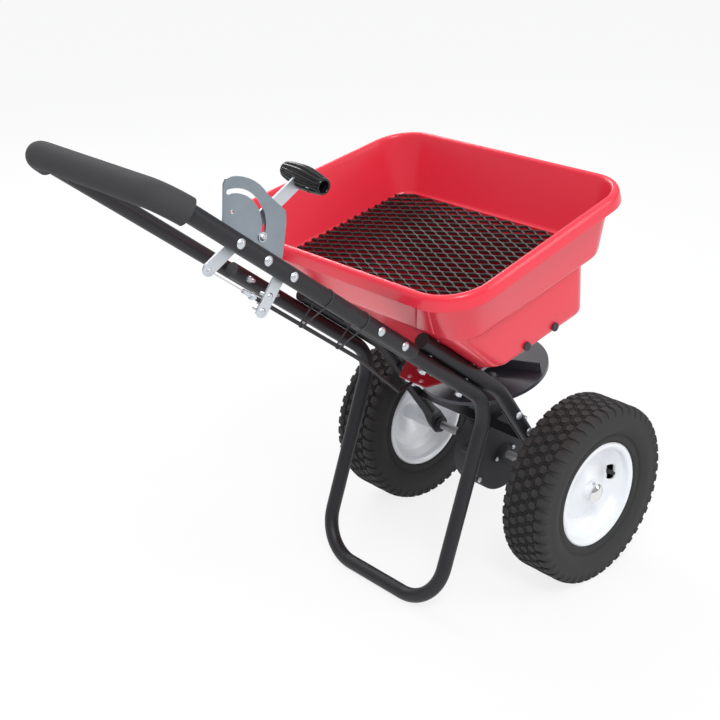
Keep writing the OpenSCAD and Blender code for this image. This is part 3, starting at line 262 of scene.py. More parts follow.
# name: dark colour, light colour, metallic, low and high roughness, coat, grain scale, grain height,
# scuff amount, bump distance
FINISHES = {
    "hopper_red": ((0.54, 0.004, 0.013), (0.66, 0.006, 0.020),
                   0.0, 0.14, 0.26, 0.0, 1400.0, 0.10, 0.2, 0.0004),
    # The hopper's red darkened for the inside of the funnel below the screen: painted shade
    "hopper_inside_painted_shade": ((0.24, 0.003, 0.008), (0.36, 0.004, 0.013),
                      0.0, 0.3, 0.5, 0.0, 1400.0, 0.3, 0.4, 0.0004),
    "black_paint": ((0.003, 0.003, 0.0035), (0.006, 0.006, 0.007),
                    0.0, 0.08, 0.16, 0.2, 1100.0, 0.12, 0.2, 0.0003),
    "black_plastic": ((0.012, 0.012, 0.015), (0.026, 0.027, 0.032),
                      0.0, 0.3, 0.44, 0.0, 1800.0, 0.6, 0.3, 0.0005),
    "knob_gloss": ((0.004, 0.004, 0.005), (0.009, 0.009, 0.01),
                   0.0, 0.12, 0.24, 0.2, 1500.0, 0.2, 0.2, 0.0003),
    "screen_black": ((0.010, 0.016, 0.018), (0.03, 0.042, 0.045),
                     0.0, 0.22, 0.4, 0.3, 1500.0, 0.3, 0.3, 0.0004),
    "zinc": ((0.34, 0.37, 0.40), (0.52, 0.55, 0.58),
             1.0, 0.18, 0.36, 0.0, 700.0, 0.3, 0.4, 0.0003),
    "zinc_plate": ((0.25, 0.295, 0.335), (0.35, 0.395, 0.44),
                   1.0, 0.3, 0.44, 0.0, 700.0, 0.3, 0.4, 0.0003),
    "steel": ((0.42, 0.43, 0.44), (0.62, 0.63, 0.64),
              1.0, 0.16, 0.34, 0.0, 900.0, 0.3, 0.5, 0.0003),
    # Red darkened to how the plate looks in the hopper's shadow: painted shade
    "plate_red": ((0.10, 0.006, 0.012), (0.20, 0.01, 0.02),
                  0.0, 0.3, 0.5, 0.2, 900.0, 0.3, 0.4, 0.0004),
    "rim_white": ((0.39, 0.43, 0.475), (0.46, 0.50, 0.545),
                  0.0, 0.16, 0.3, 0.3, 1200.0, 0.15, 0.15, 0.0004),
    "tyre_rubber": ((0.004, 0.004, 0.0045), (0.026, 0.026, 0.028),
                    0.0, 0.36, 0.56, 0.0, 1500.0, 0.7, 0.4, 0.0005),
    "foam": ((0.014, 0.015, 0.020), (0.030, 0.032, 0.040),
             0.0, 0.6, 0.8, 0.0, 2200.0, 1.4, 0.2, 0.0008),
    "cap_chrome": ((0.44, 0.44, 0.43), (0.58, 0.58, 0.56),
                   1.0, 0.07, 0.18, 0.0, 600.0, 0.2, 0.4, 0.0003),
    "bush_plastic": ((0.50, 0.48, 0.42), (0.62, 0.60, 0.54),
                     0.0, 0.4, 0.55, 0.0, 900.0, 0.3, 0.3, 0.0004),
    # Black plastic made lighter and bluer, for the sky's reflection on the disc: painted reflection
    "impeller_painted_sheen": ((0.045, 0.048, 0.060), (0.062, 0.066, 0.080),
                       0.0, 0.24, 0.4, 0.0, 1600.0, 0.3, 0.3, 0.0003),
    "cable_black": ((0.008, 0.008, 0.009), (0.016, 0.016, 0.017),
                    0.0, 0.26, 0.44, 0.0, 1600.0, 0.4, 0.3, 0.0003),
}
# Nodes whose finish differs from the rest of their slot
OWN_FINISH = {"rate_plate": "zinc_plate", "impeller": "impeller_painted_sheen"}
# Specular level of the plastics and paints that mirror their surroundings less than bare gloss does
SHEEN = {"hopper_red": 0.16, "hopper_inside_painted_shade": 0.1, "black_paint": 0.22, "rim_white": 0.25, "knob_gloss": 0.3}
FULL_SHEEN = 0.5
COAT_ROUGH = 0.08
ROUGHEST = 0.95


def vector_maths(tree, kind, a, b=None):
    """A Vector Math node on a socket and, where the kind takes one, a fixed vector."""
    node = tree.nodes.new("ShaderNodeVectorMath")
    node.operation = kind
    tree.links.new(a, node.inputs[0])
    if b:
        node.inputs[1].default_value = b
    return node.outputs["Value" if kind == "LENGTH" else "Vector"]


def groove_painted_shade(tree):
    """0 on the floor of the tread's grooves, 1 on the tops and on the side walls: by distance to the axle. It
    darkens the groove floors: painted shade.
    """
    coords = tree.nodes.new("ShaderNodeTexCoord").outputs["Object"]
    place = vector_maths(tree, "SUBTRACT", coords, (DATUM_X * MM, 0.0, AXLE_Z * MM))
    reach = vector_maths(tree, "LENGTH", vector_maths(tree, "MULTIPLY", place, (1.0, 0.0, 1.0)))
    groove_r = (TYRE_R - STUD_H + 0.5) * MM
    off = maths(tree, "ABSOLUTE", maths(tree, "SUBTRACT", reach, groove_r), 0.0)
    return span(tree, off, 0.6 * MM, 2 * MM)


def finish_material(name):
    """A material from its entry in FINISHES."""
    dark, light, metal, smooth, rough, coat, scale, height, scuffs, distance = FINISHES[name]
    material, tree, shader, surface = blank_material(name)
    surface.inputs["Grain scale"].default_value = scale
    surface.inputs["Grain height"].default_value = height
    surface.inputs["Scuff amount"].default_value = scuffs
    surface.inputs["Bump distance"].default_value = distance
    shader.inputs["Metallic"].default_value = metal
    shader.inputs["Coat Weight"].default_value = coat
    shader.inputs["Specular IOR Level"].default_value = SHEEN.get(name, FULL_SHEEN)
    shader.inputs["Coat Roughness"].default_value = COAT_ROUGH
    shade = surface.outputs["Cloud"]
    if name == "tyre_rubber":
        # the tyre's groove floors darkened: painted shade
        shade = maths(tree, "MULTIPLY", span(tree, shade, 0.0, 1.0, 0.55, 1.0), groove_painted_shade(tree))
    tree.links.new(tint(tree, shade, dark, light), shader.inputs["Base Color"])
    even = span(tree, surface.outputs["Grain"], 0.35, 0.65, smooth, rough)
    worn = maths(tree, "ADD", even, surface.outputs["Scuff"])
    tree.links.new(maths(tree, "MINIMUM", worn, ROUGHEST), shader.inputs["Roughness"])
    return material


def material_for(name):
    """The material of a finish, made the first time that it is asked for."""
    return bpy.data.materials.get(name) or finish_material(name)


def set_material(obj, slot, finish=None):
    """Gives a new piece its one material: that of the finish, or that of the slot where no finish is given."""
    obj.data.materials.clear()
    obj.data.materials.append(material_for(finish or slot))


# The hopper

RIM_Z, STEP_Z, BOX_Z, FUNNEL_Z = 546.0, 440.0, 349.0, 244.0
RIM_FRONT, RIM_REAR, RIM_HALF_FRONT, RIM_HALF_REAR = 118.0, -298.0, 253.0, 271.0
LIP_W, LIP_H, RIM_CORNER = 13.0, 23.0, 62.0
# Samples of each rounded corner of the section, and how many rows of points, counted from the inner foot,
# lie below the screen
ROUND_SAMPLES = 5
ROWS_BELOW = 17


def rear_wall_x(z, wall):
    """X of the hopper's rear wall at height z, where it lies on the support tubes."""
    rest_n = 3 * TUBE_R + TUBE_GAP + SEAT_GAP
    px = RAIL_X0 + rest_n * math.sin(RAIL)
    pz = RAIL_Z0 + rest_n * math.cos(RAIL) - AXLE_Z
    rest_x = px * math.cos(TILT) + pz * math.sin(TILT)
    rest_z = -px * math.sin(TILT) + pz * math.cos(TILT)
    lean = math.pi / 2 - RAIL - TILT
    return rest_x + (rest_z - z) * math.tan(lean) + wall / math.cos(lean)


def hopper_rings(w):
    """The hopper's closed section, outer foot up to the lip and down the inside: one line a ring,
    front, rear, half width front, half width rear, corner radius, height, rounding reach."""
    sf, shf, shr = RIM_FRONT - 34, RIM_HALF_FRONT - 24, RIM_HALF_REAR - 34
    bf, bt, bl, of, oh = 39.0, RIM_HALF_FRONT - 27, 216.0, 36.0, 58.0
    rx = rear_wall_x
    lip = [(LIP_W - w, 70, 8, 3), (LIP_W + 2 - w, 72, LIP_H, 1), (LIP_W + 2, 75, LIP_H, 1), (LIP_W, 73, 5, 4),
           (LIP_W - 4, 70, 0, 4), (3, RIM_CORNER + 3, 0, 3), (0, RIM_CORNER, 4, 6)]
    rings = [
        (of + w, rx(FUNNEL_Z, 0), oh + w, oh + w, 14, FUNNEL_Z, 1),
        (bf + w - 3, rx(BOX_Z, 0), bl + w, bl + w, 26, BOX_Z, 9),
        (bf + w, rx(STEP_Z - 1, 0), bt + w, bt + w, 30, STEP_Z - 1, 6),
        (sf + w, rx(STEP_Z, 0), shf + w, shr + w, 40, STEP_Z, 7),
        (RIM_FRONT + w - 4, RIM_REAR - w + 4, RIM_HALF_FRONT + w - 4, RIM_HALF_REAR + w - 4, 61, RIM_Z - 14, 4)]
    rings += [(RIM_FRONT + out, RIM_REAR - out, RIM_HALF_FRONT + out, RIM_HALF_REAR + out, r, RIM_Z - dz, reach)
              for out, r, dz, reach in lip]
    rings += [
        (sf, rx(STEP_Z + w, w), shf, shr, 38, STEP_Z + w, 6),
        (bf, rx(STEP_Z + w - 1, w), bt, bt, 28, STEP_Z + w - 1, 5),
        (bf - 3, rx(BOX_Z + 2, w), bl, bl, 24, BOX_Z + 2, 9),
        (of, rx(FUNNEL_Z, w), oh, oh, 12, FUNNEL_Z, 1)]
    return rings


def ring_points(front, rear, half_front, half_rear, radius, z, per_corner=14, per_side=6):
    """One closed ring: four round corners and the straights between them, at height z."""
    corners = [(front - radius, half_front - radius, 0), (rear + radius, half_rear - radius, 90),
               (rear + radius, radius - half_rear, 180), (front - radius, radius - half_front, 270)]
    arcs = []
    for cx, cy, start in corners:
        a = np.radians(start + np.linspace(0, 90, per_corner))
        arcs.append(np.stack([cx + radius * np.cos(a), cy + radius * np.sin(a)], -1))
    points = []
    for i, arc in enumerate(arcs):
        points.append(arc)
        t = np.linspace(0, 1, per_side + 2)[1:-1, None]
        points.append(arc[-1] * (1 - t) + arcs[(i + 1) % 4][0] * t)
    points = np.concatenate(points)
    return np.column_stack([points, np.full(len(points), z)])


def make_hopper(sheet):
    """The moulded hopper: stacked rounded rings, with every edge of the section rounded, and a darker
    inside below the screen, which is painted shade."""
    rings = hopper_rings(sheet)
    points = np.array([ring_points(*ring[:6]) for ring in rings])
    points = rounded_profile(points, [ring[6] for ring in rings], ROUND_SAMPLES)
    rows, cols = points.shape[:2]
    quads = grid_faces(rows, cols, True, True, flip=True)
    obj = mesh_object("hopper_shell", body_to_row(points), quads)
    set_material(obj, "hopper_red")
    # the inner faces below the screen take the darker red: painted shade
    obj.data.materials.append(material_for("hopper_inside_painted_shade"))
    painted_shade_faces = quads.min(1) // cols >= rows - ROWS_BELOW
    obj.data.polygons.foreach_set("material_index", painted_shade_faces.astype(np.int32))
    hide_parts("hopper")
    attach(obj, "frame")
    return obj


def make_rear_panel(sheet):
    """The raised panel of the hopper's rear wall: x = wall(z) - lift, where lift follows the columns of
    one cross section, a flat middle, a groove and a sloping facet at each end, and fades at top and foot."""
    # each column: distance from its edge line, lift, and which line: the middle, the groove or the outer end
    half = [(0.0, 2.2, 0), (60.0, 2.2, 0), (-1.6, 2.2, 1), (-0.2, 1.9, 1), (0.6, 0.3, 1), (2.6, 0.3, 1),
            (3.4, 2.4, 1), (4.6, 2.7, 1), (-3.0, 1.5, 2), (-0.5, 1.1, 2), (0.8, -0.8, 2)]
    z = np.array([440.4, 441.2, 443.4, 460.0, 490.0, 510.0, 512.6, 513.6])
    fade = np.array([-0.8, 0.8, 1.0, 1.0, 1.0, 1.0, 0.8, -0.8])
    run = (z - 441) / 72
    ends = np.stack([np.zeros_like(z), 138 + 46 * run, 176 + 30 * run])
    offset, lift, line = (np.array(part) for part in zip(*half))
    y = ends[line].T + offset
    y = np.concatenate([-y[:, :0:-1], y], 1)
    lift = np.concatenate([lift[:0:-1], lift])
    depth = np.where(fade[:, None] > 0, lift * np.clip(fade[:, None], 0, 1), -0.8)
    low_x, high_x = rear_wall_x(STEP_Z, 0), RIM_REAR - sheet + 4
    wall = low_x + (z - STEP_Z) / (RIM_Z - 14 - STEP_Z) * (high_x - low_x)
    points = np.stack([wall[:, None] - depth, y, np.broadcast_to(z[:, None], y.shape)], -1)
    obj = mesh_object("hopper_rear_panel", body_to_row(points), grid_faces(*y.shape))
    set_material(obj, "hopper_red")
    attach(obj, "frame")
    return obj


# The screen

SCREEN_Z = STEP_Z + HOPPER_WALL + SEAT_GAP
STRAND_THICK = 3.2


def make_screen(pitch_x, pitch_y, strand, thick):
    """Expanded metal: zigzag strands along the machine's width that meet at their bends, each a flat
    bar swept along x = centre +- quarter pitch times a triangle wave, clipped to the screen's outline."""
    front, rear = RIM_FRONT - 34 - 2.5, rear_wall_x(SCREEN_Z, HOPPER_WALL) + 4.5
    half_front, half_rear = RIM_HALF_FRONT - 26.5, RIM_HALF_REAR - 36.5
    cut, bend = 26.0, 0.92
    rows = int((front - rear - 1) / (pitch_x / 2))
    per_half = 4
    all_points, all_faces, start = [], [], 0
    for i in range(rows):
        centre = rear + 1.5 + (i + 0.5) * pitch_x / 2
        into = (centre - rear) / (front - rear)
        half = half_rear + (half_front - half_rear) * into
        edge = min(centre - rear, front - centre)
        half -= max(0.0, cut - edge)
        steps = int(2 * half / (pitch_y / 2) * per_half)
        y = np.linspace(-half, half, steps + 1)
        phase = y / (pitch_y / 2) + (i % 2)
        saw = np.abs((phase % 2) - 1) * 2 - 1
        sway = np.sin(saw * math.pi / 2 * bend) / math.sin(math.pi / 2 * bend)
        x = centre + pitch_x / 4 * sway
        lean = 0.5 * thick * np.cos(saw * math.pi / 2)
        section = np.array([(-0.5, -0.5), (0.5, -0.5), (0.5, 0.5), (-0.5, 0.5)])
        points = np.empty((len(y), 4, 3))
        points[:, :, 0] = x[:, None] + section[:, 0] * strand
        points[:, :, 1] = y[:, None]
        tilted = section[:, 0] * lean[:, None] * 0.8
        points[:, :, 2] = SCREEN_Z + 0.5 * thick + 0.45 + section[:, 1] * thick + tilted
        all_points.append(points.reshape(-1, 3))
        all_faces.append(grid_faces(len(y), 4, False, True, start))
        all_faces.append(end_caps(len(y)) + start)
        start += 4 * len(y)
    verts = body_to_row(np.concatenate(all_points))
    obj = mesh_object("screen_mesh", verts, np.concatenate(all_faces), smooth=False)
    set_material(obj, "screen_black")
    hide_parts("hopper_screen")
    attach(obj, "screen")
    return obj


# The tyres

TYRE_R, TYRE_HALF, RIM_R, RIM_HALF = 165.0, 47.0, 95.0, 37.0
TRACK_HALF = 210.0
STUD_H = 3.7
# Steps round the casing, studs round each row, and the distance between rows
CASING_STEPS, STUDS_ROUND, ROW_PITCH = 192, 48, 18.2
# How far a stud's, a ring's and a lug's foot sink into the casing
FOOT = -1.0
LUG_FOOT = -1.2


def carcass_profile():
    """Section of the casing, (radius, width) points: from the bead out over the bulged side wall and the
    square shoulder to the crown, mirrored, and back along the inside. Three faint rings run on the side."""
    bead, crown = RIM_R - 7.0, TYRE_R - STUD_H
    outer = [(bead, RIM_HALF - 6), (RIM_R + 1.5, RIM_HALF - 4.6), (RIM_R + 3.2, RIM_HALF - 1.2),
             (RIM_R + 4.4, RIM_HALF + 1.4), (RIM_R + 6.0, RIM_HALF + 1.0), (RIM_R + 10, RIM_HALF + 3.4)]
    a = np.radians(np.linspace(-52, 10, 19))
    bulge = np.stack([132 + 27 * np.sin(a), TYRE_HALF - 25.6 + 25 * np.cos(a)], -1)
    bulge[:, 1] += 0.55 * (np.exp(-((bulge[:, 0] - 114) / 1.4) ** 2) + np.exp(-((bulge[:, 0] - 139) / 1.2) ** 2))
    outer += [tuple(point) for point in bulge]
    outer += [(146.0, 45.6), (152.5, 45.4), (157.2, 43.8), (160.3, 40.4), (161.0, 35.0), (crown - 0.1, 26.0),
              (crown, 12.0), (crown, 0.0)]
    inner = [(152.0, 0.0), (148.0, 28.0), (132.0, 37.0), (RIM_R + 8, RIM_HALF - 8), (bead + 0.2, RIM_HALF - 12)]
    low = [(r, -w) for r, w in outer[-2::-1]]
    inside = [(r, -w) for r, w in inner[::-1]] + list(inner[1:])
    return np.array(outer + low + inside)


def casing_path(steps):
    """Points and outward normals along the casing's half section, from the crown down to the bead."""
    profile = carcass_profile()
    half = profile[int(np.flatnonzero(profile[:, 1] == 0)[0])::-1]
    along = np.concatenate([[0], np.cumsum(np.linalg.norm(np.diff(half, axis=0), axis=1))])
    at = np.stack([np.interp(steps, along, half[:, i]) for i in (0, 1)], -1)
    ahead, behind = (np.stack([np.interp(steps + shift, along, half[:, i]) for i in (0, 1)], -1)
                     for shift in (2.5, -2.5))
    run = ahead - behind
    run /= np.linalg.norm(run, axis=-1, keepdims=True)
    return at, np.stack([run[:, 1], -run[:, 0]], -1)


def petals(count, sides, size, depth):
    """Outline of a rosette: radius = size * (1 + depth * cos(count * angle)), as (width, around) points."""
    a = np.linspace(0, 2 * math.pi, sides, endpoint=False)
    r = size * (1 + depth * np.cos(count * a))
    return np.stack([r * np.cos(a), r * np.sin(a)], -1)


def raised_patch(outline, layers, width, angle):
    """An outline scaled and lifted layer by layer off the crown, bent round the axle: radius = crown + lift,
    turn = angle + distance round / tyre radius."""
    scale, lift = np.array(layers).T
    w = width + outline[None, :, 0] * scale[:, None]
    turn = angle + outline[None, :, 1] * scale[:, None] / TYRE_R
    r = TYRE_R - STUD_H - 0.0006 * w ** 2 + lift[:, None]
    return np.stack([r * np.sin(turn), w, r * np.cos(turn)], -1)


def shoulder_lug(side, angle):
    """One finger of the shoulder: a tapering bar swept down the casing's section from tread to side wall."""
    steps = np.array([27.5, 31.0, 36.0, 41.0, 45.0, 50.0, 56.0])
    at, out = casing_path(steps)
    half = np.array([6.6, 7.8, 7.6, 6.6, 5.6, 4.4, 3.0])
    lift = np.array([3.4, 3.9, 3.9, 3.4, 2.4, 1.3, 0.1])
    across = np.stack([-half * 1.06, -half * 0.9, half * 0.9, half * 1.06], -1)
    foot = np.full(len(steps), LUG_FOOT)
    up = np.stack([foot, lift, lift, foot], -1)
    r = at[:, 0, None] + out[:, 0, None] * up
    w = side * (at[:, 1, None] + out[:, 1, None] * up)
    turn = angle + across / TYRE_R
    return np.stack([r * np.sin(turn), w, r * np.cos(turn)], -1)


def make_tyre(side, name):
    """Casing turned round the axle, three staggered rows of six-petal rosettes, each in its own wavy ring,
    and a row of fingers over each shoulder."""
    profile = carcass_profile()
    casing = revolve(profile, CASING_STEPS)
    points, faces = [casing.reshape(-1, 3)], [grid_faces(len(profile), CASING_STEPS, True, True)]
    start = casing.size // 3

    def add(grid, quads):
        nonlocal start
        points.append(grid.reshape(-1, 3))
        faces.append(quads + start)
        start += grid.size // 3

    step = 2 * math.pi / STUDS_ROUND
    flower = petals(6, 18, 7.4, 0.15)
    ring = petals(6, 24, 10.5, 0.05)
    bloom = [(1.06, FOOT), (0.98, STUD_H - 0.5), (0.88, STUD_H), (0.0, STUD_H - 0.9)]
    wall = [(1.04, FOOT), (1.0, 2.9), (0.93, 2.9), (0.90, FOOT)]
    for row in (-1, 0, 1):
        for n in range(STUDS_ROUND):
            angle = (n + (0.5 if row else 0.0)) * step
            for outline, layers in ((flower, bloom), (ring, wall)):
                patch = raised_patch(outline, layers, row * ROW_PITCH, angle)
                add(patch, grid_faces(len(layers), len(outline), False, True))
    for edge in (1, -1):
        for n in range(STUDS_ROUND):
            lug = shoulder_lug(edge, n * step)
            body = np.concatenate([grid_faces(len(lug), 4, False, True), end_caps(len(lug))])
            add(lug, body if edge < 0 else body[:, ::-1])

    verts = np.concatenate(points) + (DATUM_X, side * TRACK_HALF, AXLE_Z)
    quads = np.concatenate(faces)
    obj = mesh_object(name, verts * MM, quads, np.arange(len(quads)) < len(faces[0]), weld=WELD)
    set_material(obj, "tyre_rubber")
    return obj


# The knob

KNOB_STEPS, KNOB_RIBS = 144, 12
KNOB_Y, KNOB_ARM, KNOB_ARM_S = 147.3, 133.2, 406
KNOB_DIP = math.radians(7)
SCREW_Y, POCKET_R, POCKET_FLOOR = 19, 3.7, 12.15


def make_knob():
    """The ribbed knob: r(y, a) = barrel(y) less a round groove between ribs, hollow at the near end, with a
    flat pocket for its screw."""
    lean = math.radians(22.5)
    y = np.concatenate([np.linspace(-40, -37.5, 4), np.linspace(-36.5, 14.5, 24), np.linspace(15.4, 22.6, 9),
                        np.linspace(23.5, 36.5, 7), np.linspace(37.5, 40, 4)])
    barrel = np.interp(y, [-40, -38, -34, -22, -8, 0, 8, 22, 34, 38, 40],
                       [9.3, 10.8, 12.2, 14.4, 16.15, 16.45, 16.15, 14.5, 12.7, 11.7, 10.4])
    a = np.linspace(0, 2 * math.pi, KNOB_STEPS, endpoint=False)
    depth = 2.5 * np.clip((37.5 - np.abs(y)) / 7, 0, 1) ** 0.5
    groove = 1 - np.abs(np.sin(KNOB_RIBS / 2 * a)) ** 0.9
    r = barrel[:, None] - depth[:, None] * groove
    pocket = (np.hypot(y[:, None] - SCREW_Y, r * np.cos(a)) < POCKET_R) & (np.sin(a) < 0)
    r = np.where(pocket, POCKET_FLOOR / np.maximum(-np.sin(a), 0.5), r)
    outer = np.stack([r * np.cos(a), np.broadcast_to(y[:, None], r.shape), r * np.sin(a)], -1)

    def ring(radius, at):
        return np.stack([radius * np.cos(a), np.full_like(a, at), radius * np.sin(a)], -1)[None]

    points = np.concatenate([ring(0, -39.2), ring(4, -39.4), ring(8.4, -40), outer,
                             ring(9.4, 40), ring(8.3, 39.2), ring(7.9, 38), ring(7.9, 18.6), ring(0, 18.2)])
    centre_s, centre_n = KNOB_ARM_S - KNOB_ARM * math.sin(lean), KNOB_ARM * math.cos(lean)
    # the near end dips: the barrel turns about the level line square to it
    fall = np.array([-math.sin(RAIL), -math.cos(RAIL)])
    sink = points[..., 0] * fall[0] + points[..., 2] * fall[1]
    sunk = sink * math.cos(KNOB_DIP) + points[..., 1] * math.sin(KNOB_DIP)
    across = points[..., 1] * math.cos(KNOB_DIP) - sink * math.sin(KNOB_DIP)
    local = np.stack([centre_s + points[..., 0] + (sunk - sink) * fall[0], KNOB_Y + across,
                      centre_n + points[..., 2] + (sunk - sink) * fall[1]], -1)
    faces = grid_faces(points.shape[0], KNOB_STEPS, False, True)
    obj = mesh_object("knob_body", rail_to_row(local), faces, weld=WELD)
    set_material(obj, "black_plastic", "knob_gloss")
    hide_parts("lever_knob")
    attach(obj, "lever")
    return obj


# The cable ties

TIE_PLACES = (240.0, 156.6)
TIE_HALF_W, TIE_THICK = 1.2, 1.0
TUBE_WRAP, CABLE_WRAP = 12.85, 3.15
TUBE_POINTS, CABLE_POINTS = 40, 16


def make_ties():
    """Two thin straps, each the taut loop round handle tube and cable: points at a fixed distance outside
    the two circles, swept as a flat band."""
    tube, cable = np.array([166.7, 0.0]), np.array([147.6, -47.0])
    gap = np.linalg.norm(cable - tube)
    heading = math.atan2(*(cable - tube)[::-1])
    half = math.acos((12.9 - 3.2) / gap)
    count = TUBE_POINTS + CABLE_POINTS
    a = np.concatenate([np.linspace(heading + half, heading + 2 * math.pi - half, TUBE_POINTS),
                        np.linspace(heading - half, heading + half, CABLE_POINTS)])
    on_tube = np.arange(count) < TUBE_POINTS
    at = np.where(on_tube[:, None], tube, cable)
    rest = np.where(on_tube, TUBE_WRAP, CABLE_WRAP)
    ring = np.stack([np.cos(a), np.sin(a)], -1)
    loops = []
    for place in TIE_PLACES:
        band = [np.column_stack([np.full(count, place + side * TIE_HALF_W), at + ring * (rest + out)[:, None]])
                for side, out in ((-1, 0.0), (1, 0.0), (1, TIE_THICK), (-1, TIE_THICK))]
        loops.append(np.stack(band, 1))
    points = np.concatenate([rail_to_row(loop).reshape(-1, 3) for loop in loops])
    faces = np.concatenate([grid_faces(count, 4, True, True, 4 * count * i) for i in range(len(loops))])
    obj = mesh_object("cable_tie_straps", points, faces)
    set_material(obj, "black_plastic")
    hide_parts("cable_ties")
    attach(obj, "frame")
    return obj


# The stage

def camera_share(tree, kinds):
    """1 for the named kinds of ray, 0 for the rest."""
    path = tree.nodes.new("ShaderNodeLightPath")
    share = path.outputs[kinds[0]]
    for kind in kinds[1:]:
        share = maths(tree, "MAXIMUM", share, path.outputs[kind])
    return share


# How far the floor looks lit by itself to the rays that see it, which keeps its shadow
FLOOR_GLOW = 0.82
SKY_STRENGTH = 0.95
LAMP_TARGET = (0, 0, 0.4)
SENSOR = 36.0


def make_stage(brightness):
    """A pale floor that keeps a light shadow, a soft sky, three lamps and the camera of the photograph."""
    floor = mesh_object("floor", [(-7, -7, 0), (9, -7, 0), (9, 9, 0), (-7, 9, 0)], [(0, 1, 2, 3)], False)
    material = bpy.data.materials.new("floor_white")
    material.use_nodes = True
    tree = material.node_tree
    shader = tree.nodes["Principled BSDF"]
    shader.inputs["Base Color"].default_value = (0.86, 0.86, 0.87, 1.0)
    shader.inputs["Roughness"].default_value = 0.7
    shader.inputs["Specular IOR Level"].default_value = 0.1
    glow = tree.nodes.new("ShaderNodeEmission")
    glow.inputs["Strength"].default_value = 1.0
    mixed = tree.nodes.new("ShaderNodeMixShader")
    seen = camera_share(tree, ("Is Camera Ray", "Is Glossy Ray", "Is Transmission Ray"))
    tree.links.new(maths(tree, "MULTIPLY", seen, FLOOR_GLOW), mixed.inputs["Fac"])
    tree.links.new(shader.outputs["BSDF"], mixed.inputs[1])
    tree.links.new(glow.outputs["Emission"], mixed.inputs[2])
    tree.links.new(mixed.outputs["Shader"], tree.nodes["Material Output"].inputs["Surface"])
    floor.data.materials.append(material)

    world = bpy.data.worlds.new("studio")
    bpy.context.scene.world = world
    world.use_nodes = True
    tree = world.node_tree
    sky = tree.nodes["Background"]
    # the sky is brighter overhead than at the sides, as under a soft box
    height = tree.nodes.new("ShaderNodeSeparateXYZ")
    tree.links.new(tree.nodes.new("ShaderNodeTexCoord").outputs["Generated"], height.inputs["Vector"])
    overhead = span(tree, height.outputs["Z"], 0.25, 0.85)
    tree.links.new(tint(tree, overhead, (0.42, 0.43, 0.45), (1.0, 1.0, 1.0)), sky.inputs["Color"])
    sky.inputs["Strength"].default_value = SKY_STRENGTH * brightness

    def area(name, at, size, power):
        light = bpy.data.lights.new(name, "AREA")
        light.shape = "RECTANGLE"
        light.size, light.size_y = size
        light.energy = power * brightness
        obj = bpy.data.objects.new(name, light)
        obj.location = at
        direction = np.subtract(LAMP_TARGET, at)
        obj.rotation_euler = Vector(direction).to_track_quat("-Z", "Y").to_euler()
        bpy.context.scene.collection.objects.link(obj)

    area("key", (-1.2, -1.8, 3.0), (1.0, 1.0), 55)
    area("fill", (2.4, -2.6, 1.6), (0.8, 2.0), 18)
    area("rim", (0.8, 2.6, 2.4), (2.4, 0.6), 38)

    # the camera fitted to the photograph: focal length in pixels of its 720, place and direction
    camera = bpy.data.cameras.new("camera")
    camera.sensor_width = SENSOR
    camera.lens = 1281.3 / 720 * SENSOR
    obj = bpy.data.objects.new("camera", camera)
    heading, down = math.radians(47.53), math.radians(22.92)
    obj.location = ((DATUM_X - 1628.4) * MM, -1410.2 * MM, 1247.4 * MM)
    obj.rotation_euler = (math.pi / 2 - down, 0, heading - math.pi / 2)
    bpy.context.scene.collection.objects.link(obj)
    bpy.context.scene.camera = obj
    bpy.context.scene.view_settings.view_transform = "Standard"


# The add-on

def millimetres(name, description, default, low, high):
    """A length property in millimetres."""
    return bpy.props.FloatProperty(name=name, description=f"{description} in millimetres",
                                   default=default, min=low, max=high)


class SpreaderShape(bpy.types.PropertyGroup):
    """Sizes that a user may change."""
    wall: millimetres("Hopper wall", "Thickness of the moulded wall", HOPPER_WALL, 2.0, 5.0)
    diamond_long: millimetres("Diamond length", "Long way of the screen's diamonds", 37.5, 15.0, 60.0)
    diamond_short: millimetres("Diamond width", "Short way of the screen's diamonds", 16.6, 8.0, 30.0)
    strand: millimetres("Strand width", "Width of one screen strand", 2.2, 1.0, 4.0)


class SpreaderStage(bpy.types.PropertyGroup):
    """Settings of the studio."""
    brightness: bpy.props.FloatProperty(name="Brightness", description="Scales every light together",
                                        default=1.0, min=0.1, max=4.0, subtype="FACTOR")


class SPREADER_OT_hopper(bpy.types.Operator):
    """Build the moulded hopper"""
    bl_idname = "spreader.hopper"
    bl_label = "Build the hopper"

    def execute(self, context):
        make_hopper(context.scene.spreader_shape.wall)
        make_rear_panel(context.scene.spreader_shape.wall)
        return {"FINISHED"}


class SPREADER_OT_screen(bpy.types.Operator):
    """Build the expanded metal screen"""
    bl_idname = "spreader.screen"
    bl_label = "Build the screen"

    def execute(self, context):
        shape = context.scene.spreader_shape
        make_screen(shape.diamond_short, shape.diamond_long, shape.strand, STRAND_THICK)
        return {"FINISHED"}


class SPREADER_OT_tyres(bpy.types.Operator):
    """Build both studded tyres"""
    bl_idname = "spreader.tyres"
    bl_label = "Build the tyres"

    def execute(self, context):
        for side, word, body in ((1, "left", "wheel_left"), (-1, "right", "axle_set")):
            tyre = make_tyre(side, f"tread_{word}")
            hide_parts(f"tyre_{word}")
            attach(tyre, body)
        return {"FINISHED"}


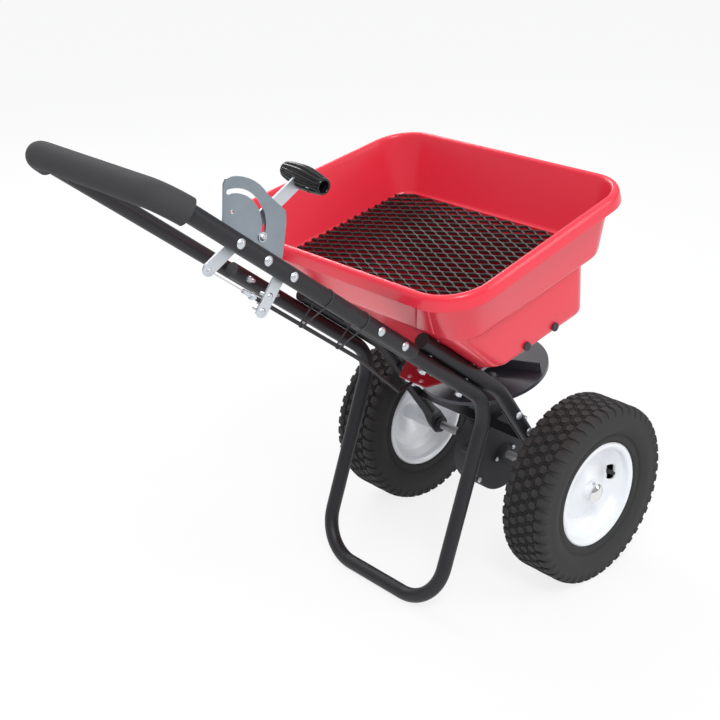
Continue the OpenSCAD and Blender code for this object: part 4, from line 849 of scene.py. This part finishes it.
class SPREADER_OT_knob(bpy.types.Operator):
    """Build the fluted lever knob"""
    bl_idname = "spreader.knob"
    bl_label = "Build the knob"

    def execute(self, context):
        make_knob()
        return {"FINISHED"}


class SPREADER_OT_ties(bpy.types.Operator):
    """Build the two cable ties"""
    bl_idname = "spreader.ties"
    bl_label = "Build the cable ties"

    def execute(self, context):
        make_ties()
        return {"FINISHED"}


class SPREADER_OT_finishes(bpy.types.Operator):
    """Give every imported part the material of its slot"""
    bl_idname = "spreader.finishes"
    bl_label = "Apply the finishes"

    def execute(self, context):
        slots = {entry["node"]: entry["material_slot"] for entry in frame["record"]["subparts"]}
        for node, obj in frame["nodes"].items():
            material = material_for(OWN_FINISH.get(node, slots[node]))
            for place in obj.material_slots:
                place.material = material
        return {"FINISHED"}


class SPREADER_OT_stage(bpy.types.Operator):
    """Build the floor, lights and camera"""
    bl_idname = "spreader.stage"
    bl_label = "Build the stage"

    def execute(self, context):
        make_stage(context.scene.spreader_stage.brightness)
        return {"FINISHED"}


STEPS = ("finishes", "hopper", "screen", "tyres", "knob", "ties", "stage")


class SPREADER_PT_panel(bpy.types.Panel):
    """The spreader's steps"""
    bl_label = "Spreader"
    bl_idname = "SPREADER_PT_panel"
    bl_space_type = "VIEW_3D"
    bl_region_type = "UI"
    bl_category = "Spreader"

    def draw(self, context):
        for step in STEPS:
            self.layout.operator(f"spreader.{step}")


CLASSES = (SpreaderShape, SpreaderStage, SPREADER_OT_finishes, SPREADER_OT_hopper, SPREADER_OT_screen,
           SPREADER_OT_tyres, SPREADER_OT_knob, SPREADER_OT_ties, SPREADER_OT_stage, SPREADER_PT_panel)


def register():
    for cls in CLASSES:
        bpy.utils.register_class(cls)
    bpy.types.Scene.spreader_shape = bpy.props.PointerProperty(type=SpreaderShape)
    bpy.types.Scene.spreader_stage = bpy.props.PointerProperty(type=SpreaderStage)


def unregister():
    del bpy.types.Scene.spreader_shape
    del bpy.types.Scene.spreader_stage
    for cls in reversed(CLASSES):
        bpy.utils.unregister_class(cls)


def main():
    register()
    for step in STEPS:
        getattr(bpy.ops.spreader, step)()


if __name__ == "__main__":
    main()
